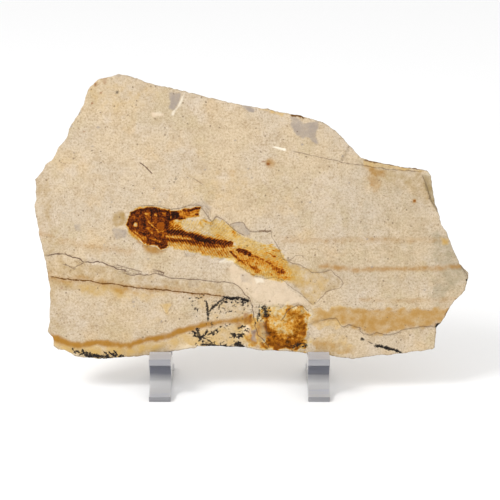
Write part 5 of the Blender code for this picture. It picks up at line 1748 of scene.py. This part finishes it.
@dataclass
class Fish:
    """The fossil fish: a thin skin of bone with a domed skull, backbone, spines, and rays in fin and tail."""

    stand: Stand
    step: float = 0.17
    left: float = -57.5
    right: float = 18.5
    low: float = 32.0
    high: float = 68.0
    underside: float = -0.62
    floor: float = -0.5
    plate_rise: float = 0.12
    skull_centre: tuple[float, float] = (-45.5, 57.6)
    skull_radii: tuple[float, float] = (8.6, 7.2)
    skull_seat: float = -0.6
    skull_rise: float = 0.75
    eye_centre: tuple[float, float] = (-51.4, 58.0)
    eye_ring: float = 1.9
    gill_centre: tuple[float, float] = (-40.2, 57.5)
    gill_radius: float = 2.0
    spine_spacing: float = 1.3

    def presence(self, u: np.ndarray, v: np.ndarray) -> np.ndarray:
        """Distance inside the fish: inside its spines' roots, or on a spine that narrows to its tip.

        Args:
            u: U of each point.
            v: V of each point.

        Returns:
            The inside distance in millimetres.
        """
        core = inside_distance(u, v, Fossil.outline(tips=False)) + 0.14 * grain(u, v, 1.1, 61, 3)
        reach = inside_distance(u, v, Fossil.outline(tips=True))
        outward = np.clip(-core, 0.0, None)
        share = outward / np.maximum(outward + np.clip(reach, 0.0, None), 0.05)
        wave = np.cos(math.tau * Fossil.spine_turns(u, v, self.spine_spacing))
        spine = self.spine_spacing / math.tau * (wave + 0.95 - 1.5 * share)
        return np.maximum(core, np.minimum(reach + 0.1, spine))

    def level(self, u: np.ndarray, v: np.ndarray, inside: np.ndarray) -> np.ndarray:
        """The fish's top: a thin plate with falling rims, plus skull, eye, gill, vertebrae, spines and rays.

        Args:
            u: U of each point.
            v: V of each point.
            inside: Distance inside the fish.

        Returns:
            W of each point.
        """
        held = smooth(0.0, 0.5, inside)
        level = self.floor + 0.03 + self.plate_rise * held
        level += 0.06 * grain(u, v, 0.9, 62, 3) * held
        turns, strength = Fossil.rays(u, v)
        level += 0.07 * strength * np.cos(math.tau * turns)
        across = (u - self.skull_centre[0]) / self.skull_radii[0]
        up = (v - self.skull_centre[1]) / self.skull_radii[1]
        dome = self.skull_seat + self.skull_rise * np.sqrt(np.clip(1.0 - across ** 2 - up ** 2, 0.0, None))
        bumps = 0.16 * grain(u, v, 2.2, 63, 4)
        rise = smooth(0.0, 0.9, inside)
        level = np.maximum(level, (dome + bumps) * rise + level * (1 - rise))
        for crease in SKULL_CREASES:
            level -= 0.14 * smooth(0.45, 0.0, np.abs(line_distance(u, v, np.asarray(crease, float))[0]))
        eye = np.hypot(u - self.eye_centre[0], v - self.eye_centre[1])
        level += 0.14 * smooth(0.6, 0.0, np.abs(eye - self.eye_ring)) - 0.1 * smooth(1.5, 0.6, eye)
        gill = np.hypot(u - self.gill_centre[0], (v - self.gill_centre[1]) / 1.15)
        level += 0.2 * np.sqrt(np.clip(1.0 - (gill / self.gill_radius) ** 2, 0.0, None))
        for ray in FIN_RAYS:
            level += 0.08 * smooth(0.28, 0.0, np.abs(line_distance(u, v, np.asarray(ray, float))[0]))
        for route, count, first, last in BACKBONE:
            signed, share = line_distance(u, v, spread_along(np.asarray(route, float), 30))
            waist = 0.78 + 0.22 * np.abs(np.sin(share * count * math.pi))
            radius = (first + (last - first) * share) * waist
            bone = -0.72 + np.sqrt(np.clip(radius ** 2 - signed ** 2, 0.0, None))
            ends = (share > 0.0) & (share < 1.0)
            level = np.where(ends, np.maximum(level, bone), level)
        return level

    def build(self) -> bpy.types.Object:
        """Builds the fish: the cells of a fine grid inside its outline, a rim, and a flat underside.

        Returns:
            The fish's object.
        """
        columns = round((self.right - self.left) / self.step) + 1
        rows = round((self.high - self.low) / self.step) + 1
        grid_u, grid_v = np.meshgrid(
            np.linspace(self.left, self.right, columns), np.linspace(self.low, self.high, rows)
        )
        inside = self.presence(grid_u.ravel(), grid_v.ravel()).reshape(rows, columns)
        slope_v, slope_u = np.gradient(inside, self.step)
        steep = np.maximum(slope_u ** 2 + slope_v ** 2, 0.25)
        pull = np.where(inside < 0, np.clip(-inside / steep, 0.0, self.step), 0.0)
        grid_u, grid_v = grid_u + pull * slope_u, grid_v + pull * slope_v
        cells = sheet_faces(rows, columns)
        cells = cells[(inside.ravel()[cells] > 0).sum(axis=1) >= 2]
        used, packed = np.unique(cells, return_inverse=True)
        top = packed.reshape(-1, 4)
        u, v = grid_u.ravel()[used], grid_v.ravel()[used]
        level = self.level(u, v, self.presence(u, v))
        count = len(used)
        starts, ends = top.ravel(), np.roll(top, -1, axis=1).ravel()
        rim = ~np.isin(starts * count + ends, ends * count + starts)
        skirt = np.stack([starts[rim], starts[rim] + count, ends[rim] + count, ends[rim]], axis=1)
        under = top[:, ::-1] + count
        points = np.concatenate([
            np.stack([u, v, level], axis=1), np.stack([u, v, np.full(count, self.underside)], axis=1),
        ])
        upper = np.stack([(u - self.left) / 80.0, (v - self.low) / 80.0], axis=1)
        sheet = np.concatenate([upper, upper + (0.0, 0.5)])
        blocks = [FaceBlock(faces, sheet[faces]) for faces in (top, under)]
        lane, place = np.divmod(np.arange(len(skirt)), 400)
        across = 0.002 + (place[:, None] + np.array([0.0, 0.0, 0.8, 0.8])) / 402
        down = 0.456 + (lane[:, None] + np.array([0.8, 0.0, 0.0, 0.8])) / 250
        blocks.append(FaceBlock(skirt, np.stack([across, down], axis=-1)))
        piece = new_piece("fish_bone", self.stand.place(points), blocks)
        Fossil.stain(piece, points[:, 0], points[:, 1], np.ones(len(points)))
        return piece


@dataclass(frozen=True)
class ClearAcrylic:
    """Cast acrylic sheet: colourless, glassy on the sheet's faces, and satin where the saw cut it.

    In the photograph the cut shows milky and smoky bands, from light that the sheet bends inside. Here they
    are painted light and painted shade: a tint by the cut's outward direction, matched to the photograph, on
    a cut that is only partly clear.
    """

    ior: float = 1.49
    face_roughness: float = 0.04
    cut_roughness: float = 0.42
    face_tint: str = "#F6F8FA"
    cut_tint: str = "#AEAEB4"
    # Painted light on the cut where it faces up, and painted shade where it curves under
    lit_tint: str = "#FBF9F8"
    painted_light_top_tint: str = "#F2F2F8"
    painted_shade_tint: str = "#757783"
    face_clearness: float = 1.0
    cut_clearness: float = 0.55
    depth_tint: str = "#A9B2BE"
    density: float = 2.0
    saw_mark_mm: float = 3.2

    def dress(self, pieces: Sequence[bpy.types.Object]) -> None:
        """Puts the two clear finishes on the feet, the faces' one first and the cut edges' one second.

        Args:
            pieces: The feet.
        """
        for name, tint, clearness, roughness in (
            ("acrylic_cast_sheet_face", self.face_tint, self.face_clearness, self.face_roughness),
            ("acrylic_cast_sheet_saw_cut", self.cut_tint, self.cut_clearness, self.cut_roughness),
        ):
            material, node = new_material(name)
            finish_surface(material, {
                "Base Color": tint, "Transmission Weight": clearness, "IOR": self.ior, "Roughness": roughness,
            })
            if roughness == self.cut_roughness:
                colour, relief = self.saw_cut(node)
                finish_surface(material, {"Base Color": colour, "Normal": relief})
            depth = node("VolumeAbsorption", None, (self.depth_tint, self.density))
            fill_inputs(material.node_tree.nodes["Material Output"], {"Volume": depth})
            for piece in pieces:
                piece.data.materials.append(material)

    def saw_cut(self, node: AddNode) -> tuple[Socket, Socket]:
        """The saw cut: ridges straight across the sheet, and a tint by the cut's outward direction.

        The tint is painted shade where the cut curves under, a plain grey where it stands upright, and
        painted light, milky, where it faces up; the ridges streak the tint.

        Args:
            node: Adds a node to the material.

        Returns:
            The tint and the ridged surface's normal.
        """
        across = 1 / (self.saw_mark_mm * MM)
        drawn_out = node("Mapping", None, {
            "Vector": node("TexCoord", output="Object"), "Scale": (0.12 * across, across, 1.6 * across),
        })
        ridges = node("TexNoise", None, {"Vector": drawn_out, "Scale": 1.0, "Detail": 4.0, "Roughness": 0.65})
        upward = node("SeparateXYZ", None, (node("NewGeometry", output="Normal"),), 2)
        inner = node("NewGeometry", output="Backfacing")
        outside = node("Math", {"operation": "MULTIPLY_ADD"}, (inner, -1.0, 0.5))
        streaks = node("Math", {"operation": "MULTIPLY_ADD"}, (ridges, 0.3, 0.35))
        turned = node("Math", {"operation": "MULTIPLY_ADD"}, (upward, outside, streaks))
        # Painted shade where the cut faces down, painted light where it faces up, streaked by the ridges
        tint = node("ValToRGB", {"stops": (
            (0.0, self.cut_tint), (0.04, self.painted_shade_tint), (0.36, self.painted_shade_tint), (0.44, self.cut_tint),
            (0.78, self.lit_tint), (0.97, self.lit_tint), (1.0, self.painted_light_top_tint),
        )}, (turned,))
        return tint, node("Bump", None, {"Height": ridges, "Distance": 0.5 * MM, "Strength": 0.8})


@dataclass
class Foot:
    """One clear foot: a waisted stem with a slot that takes the slab, and a long flat base."""

    stand: Stand
    centre_u: float
    name: str
    width: float = 9.5
    slab_thickness: float = 9.5
    clearance: float = 0.3
    base_front: float = -12.0
    base_back: float = 30.0
    base_height: float = 2.25
    waist_front: float = -2.9
    waist_back: float = 12.0
    waist_height: float = 8.3
    nose_front: float = -7.9
    nose_top: float = 18.3
    nose_bottom: float = 15.4
    lip: float = 1.7
    low_pull: float = 3.2
    high_pull: float = 12.4
    horn_root: float = 3.0
    horn_reach: float = 24.0
    horn_thickness: float = 5.5
    edge_round: float = 0.3
    curve_steps: int = 18

    def on_slab(self, v: float, w: float) -> tuple[float, float]:
        """Where a point of the slab's section lies in the foot's own Y and Z.

        Args:
            v: Its height up the slab.
            w: Its distance out of the front face.

        Returns:
            Y and Z in millimetres.
        """
        lean = math.radians(self.stand.lean_deg)
        y = v * math.sin(lean) - w * math.cos(lean)
        return y, self.stand.rest_height + v * math.cos(lean) + w * math.sin(lean)

    def bend(self, start: Sequence[float], pull: Sequence[float], end: Sequence[float]) -> np.ndarray:
        """A quadratic curve: start times (1 - t) squared, plus 2 pull t (1 - t), plus end times t squared.

        Args:
            start: Its first point.
            pull: The point that it bends towards.
            end: Its last point.

        Returns:
            The curve's points, one row each.
        """
        share = np.linspace(0.0, 1.0, self.curve_steps)[:, None]
        start, pull, end = (np.asarray(point, float) for point in (start, pull, end))
        return start * (1 - share) ** 2 + 2 * pull * share * (1 - share) + end * share ** 2

    def profile(self) -> np.ndarray:
        """The foot's side view, anticlockwise from its front lower corner.

        Returns:
            Y and Z in millimetres, one row for each point.
        """
        behind = -(self.slab_thickness + self.clearance)
        back = behind - self.horn_thickness
        round_off = self.horn_thickness / 2
        waist_front = (self.waist_front, self.waist_height)
        waist_back = (self.waist_back, self.waist_height)
        base_front = (self.base_front, self.base_height)
        base_back = (self.base_back, self.base_height)
        nose_bottom = (self.nose_front, self.nose_bottom)
        reach = self.horn_reach
        horn_root = self.on_slab(self.horn_root, back)
        middle = self.on_slab(reach, behind - round_off)
        parts = [
            [(self.base_front, 0.0), (self.base_back, 0.0)],
            self.bend(base_back, (self.waist_back, self.low_pull), waist_back),
            self.bend(waist_back, (self.waist_back, self.high_pull), horn_root),
            self.bend(self.on_slab(reach - round_off, back), self.on_slab(reach, back), middle),
            self.bend(middle, self.on_slab(reach, behind), self.on_slab(reach - round_off, behind)),
            [self.on_slab(-self.clearance, behind), self.on_slab(-self.clearance, self.clearance)],
            [self.on_slab(self.lip, self.clearance), (self.nose_front, self.nose_top)],
            self.bend(nose_bottom, (self.waist_front, self.high_pull), waist_front),
            self.bend(waist_front, (self.waist_front, self.low_pull), base_front),
        ]
        outline = np.concatenate([np.asarray(part, float) for part in parts])
        apart = np.hypot(*(outline - np.roll(outline, 1, axis=0)).T)
        return outline[apart > 1e-6]

    def build(self) -> bpy.types.Object:
        """Carries the side view across the sheet's width, drawn in a little at both faces for a soft edge.

        Returns:
            The foot's object.
        """
        outline = self.profile()
        count = len(outline)
        before = outline - np.roll(outline, 1, axis=0)
        after = np.roll(outline, -1, axis=0) - outline
        before /= np.hypot(*before.T)[:, None]
        after /= np.hypot(*after.T)[:, None]
        normals = np.stack([before[:, 1] + after[:, 1], -before[:, 0] - after[:, 0]], axis=1)
        normals /= np.maximum(1.0 + (before * after).sum(axis=1), 0.5)[:, None]
        quarter = np.linspace(0.0, math.pi / 2, 5)
        half, edge = self.width / 2, self.edge_round
        insets = np.concatenate([edge * (1 - np.cos(quarter))[::-1], edge * (1 - np.cos(quarter))])
        from_face = edge * (1 - np.sin(quarter))
        places = np.concatenate([-half + from_face[::-1], half - from_face])
        rings = []
        for place, inset in zip(places, insets):
            ring = outline - normals * inset
            across = np.full(count, place + self.centre_u + self.stand.shift_x)
            deep = ring[:, 0] + self.stand.shift_y
            rings.append(np.column_stack([across, deep, np.maximum(ring[:, 1], 0.0)]))
        points = np.concatenate(rings) * MM
        here = np.arange(count)
        ahead = np.roll(here, -1)
        quads = np.concatenate([
            np.stack([near + here, near + ahead, near + count + ahead, near + count + here], axis=1)
            for near in range(0, count * (len(rings) - 1), count)
        ])
        caps = np.stack([here[::-1], here + count * (len(rings) - 1)])
        side = np.stack([0.01 + (points[:, 1] / MM + 24.0) / 100.0, 0.01 + points[:, 2] / MM / 100.0], axis=1)
        cap_sheet = side[caps] + np.array([[[0.0, 0.0]], [[0.5, 0.0]]])
        step = np.tile(here, len(rings) - 1)[:, None] + np.array([0, 1, 1, 0])
        ring = np.repeat(np.arange(len(rings) - 1), count)[:, None] + np.array([0, 0, 1, 1])
        cut_sheet = np.stack([0.01 + 0.98 * step / count, 0.6 + 0.35 * ring / len(rings)], axis=-1)
        blocks = [FaceBlock(quads, cut_sheet), FaceBlock(caps, cap_sheet)]
        piece = new_piece(self.name, points, blocks)
        piece.data.polygons.foreach_set("use_smooth", np.zeros(len(piece.data.polygons), bool))
        finishes = np.concatenate([np.ones(len(quads), int), np.zeros(2, int)])
        piece.data.polygons.foreach_set("material_index", finishes.astype(np.int32))
        return piece


# The camera: how far it looks down, the slab point it looks at, its distance in metres and its lens
CAMERA_ELEVATION_DEG = 17.0
CAMERA_TARGET = (-1.2, 46.9, 0.0)
CAMERA_DISTANCE = 0.8
CAMERA_LENS_MM = 130.9

# Which foot stands where across the slab, in slab millimetres
FOOT_CENTRES = {"left": -40.8, "right": 29.1}


def add_camera(stand: Stand) -> None:
    """Sets the camera square on in plan, looking down at the slab as the photograph does.

    Args:
        stand: How the slab stands.
    """
    elevation = math.radians(CAMERA_ELEVATION_DEG)
    target = stand.place(np.array([CAMERA_TARGET]))[0]
    data = bpy.data.cameras.new("view_camera")
    data.sensor_width = 36.0
    data.lens = CAMERA_LENS_MM
    camera = bpy.data.objects.new("view_camera", data)
    away = np.array([0.0, -math.cos(elevation), math.sin(elevation)])
    camera.location = target + CAMERA_DISTANCE * away
    camera.rotation_euler = (math.pi / 2 - elevation, 0.0, 0.0)
    bpy.context.scene.collection.objects.link(camera)
    bpy.context.scene.camera = camera


def add_light(name: str, place: tuple[float, float, float], size: float, power: float) -> None:
    """Adds a soft square light that looks at the slab.

    Args:
        name: The light's name.
        place: Where it hangs, in metres.
        size: The side of its square, in metres.
        power: Its power in watts.
    """
    data = bpy.data.lights.new(name, "AREA")
    data.size = size
    data.energy = power
    light = bpy.data.objects.new(name, data)
    light.location = place
    away = np.array(place) - np.array([0.0, 0.0, 0.07])
    flat = math.hypot(away[0], away[1])
    light.rotation_euler = (math.atan2(flat, away[2]), 0.0, math.atan2(away[0], -away[1]))
    bpy.context.scene.collection.objects.link(light)


def add_studio() -> None:
    """A plain pale floor, a pale surround and soft lights, the strongest from the upper left."""
    world = bpy.data.worlds.new("studio")
    world.use_nodes = True
    world.node_tree.nodes["Background"].inputs[0].default_value = linear("#FFFFFF")
    world.node_tree.nodes["Background"].inputs[1].default_value = 0.96
    bpy.context.scene.world = world
    bpy.context.scene.view_settings.view_transform = "Standard"
    half, cells = 1.6, 17
    line = np.linspace(-half, half, cells)
    across, deep = np.meshgrid(line, line)
    points = np.stack([across.ravel(), deep.ravel(), np.zeros(across.size)], axis=1)
    faces = sheet_faces(cells, cells)
    floor = new_piece("studio_floor", points, [FaceBlock(faces, (points[faces][..., :2] / half + 1) / 2)])
    material = new_material("painted_board_matt")[0]
    finish_surface(material, {"Base Color": "#F7F7F7", "Roughness": 0.9})
    floor.data.materials.append(material)
    add_light("key_light", (-0.66, -0.46, 0.85), 0.4, 6.2)
    add_light("fill_light", (0.9, -0.9, 0.5), 0.9, 0.6)


def corners(bounds: tuple[Any, Any]) -> list[list[float]]:
    """Two corners as plain lists of numbers."""
    return [[float(value) for value in corner] for corner in bounds]


def main() -> None:
    """Loads the frame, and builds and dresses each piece."""
    logging.basicConfig(level=logging.INFO, format="%(message)s")
    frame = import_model()
    log.info("frame: %d CAD nodes", len(frame["nodes"]))
    foot_low, foot_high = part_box("stand_foot_left")
    shift_x = (foot_low[0] + foot_high[0]) / 2 / MM - FOOT_CENTRES["left"]
    shift_y = foot_low[1] / MM - Foot.base_front
    stand = Stand(shift_x, shift_y)
    add_camera(stand)
    add_studio()
    slab = Slab(stand).build()
    stone = Limestone()
    stone.dress(slab, stand)
    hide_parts("stone_slab")
    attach(slab, "root")
    log.info("slab_stone: %d faces", len(slab.data.polygons))
    fish = Fish(stand).build()
    MineralisedBone(stone).dress(fish, stand)
    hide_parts("fossil_fish")
    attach(fish, "root")
    log.info("fish_bone: %d faces", len(fish.data.polygons))
    feet = []
    for side, centre in FOOT_CENTRES.items():
        foot = Foot(stand, centre, "clear_foot_" + side).build()
        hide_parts("stand_foot_" + side)
        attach(foot, "root")
        feet.append(foot)
        log.info("%s: %d faces", foot.name, len(foot.data.polygons))
    ClearAcrylic().dress(feet)


if __name__ == "__main__":
    main()
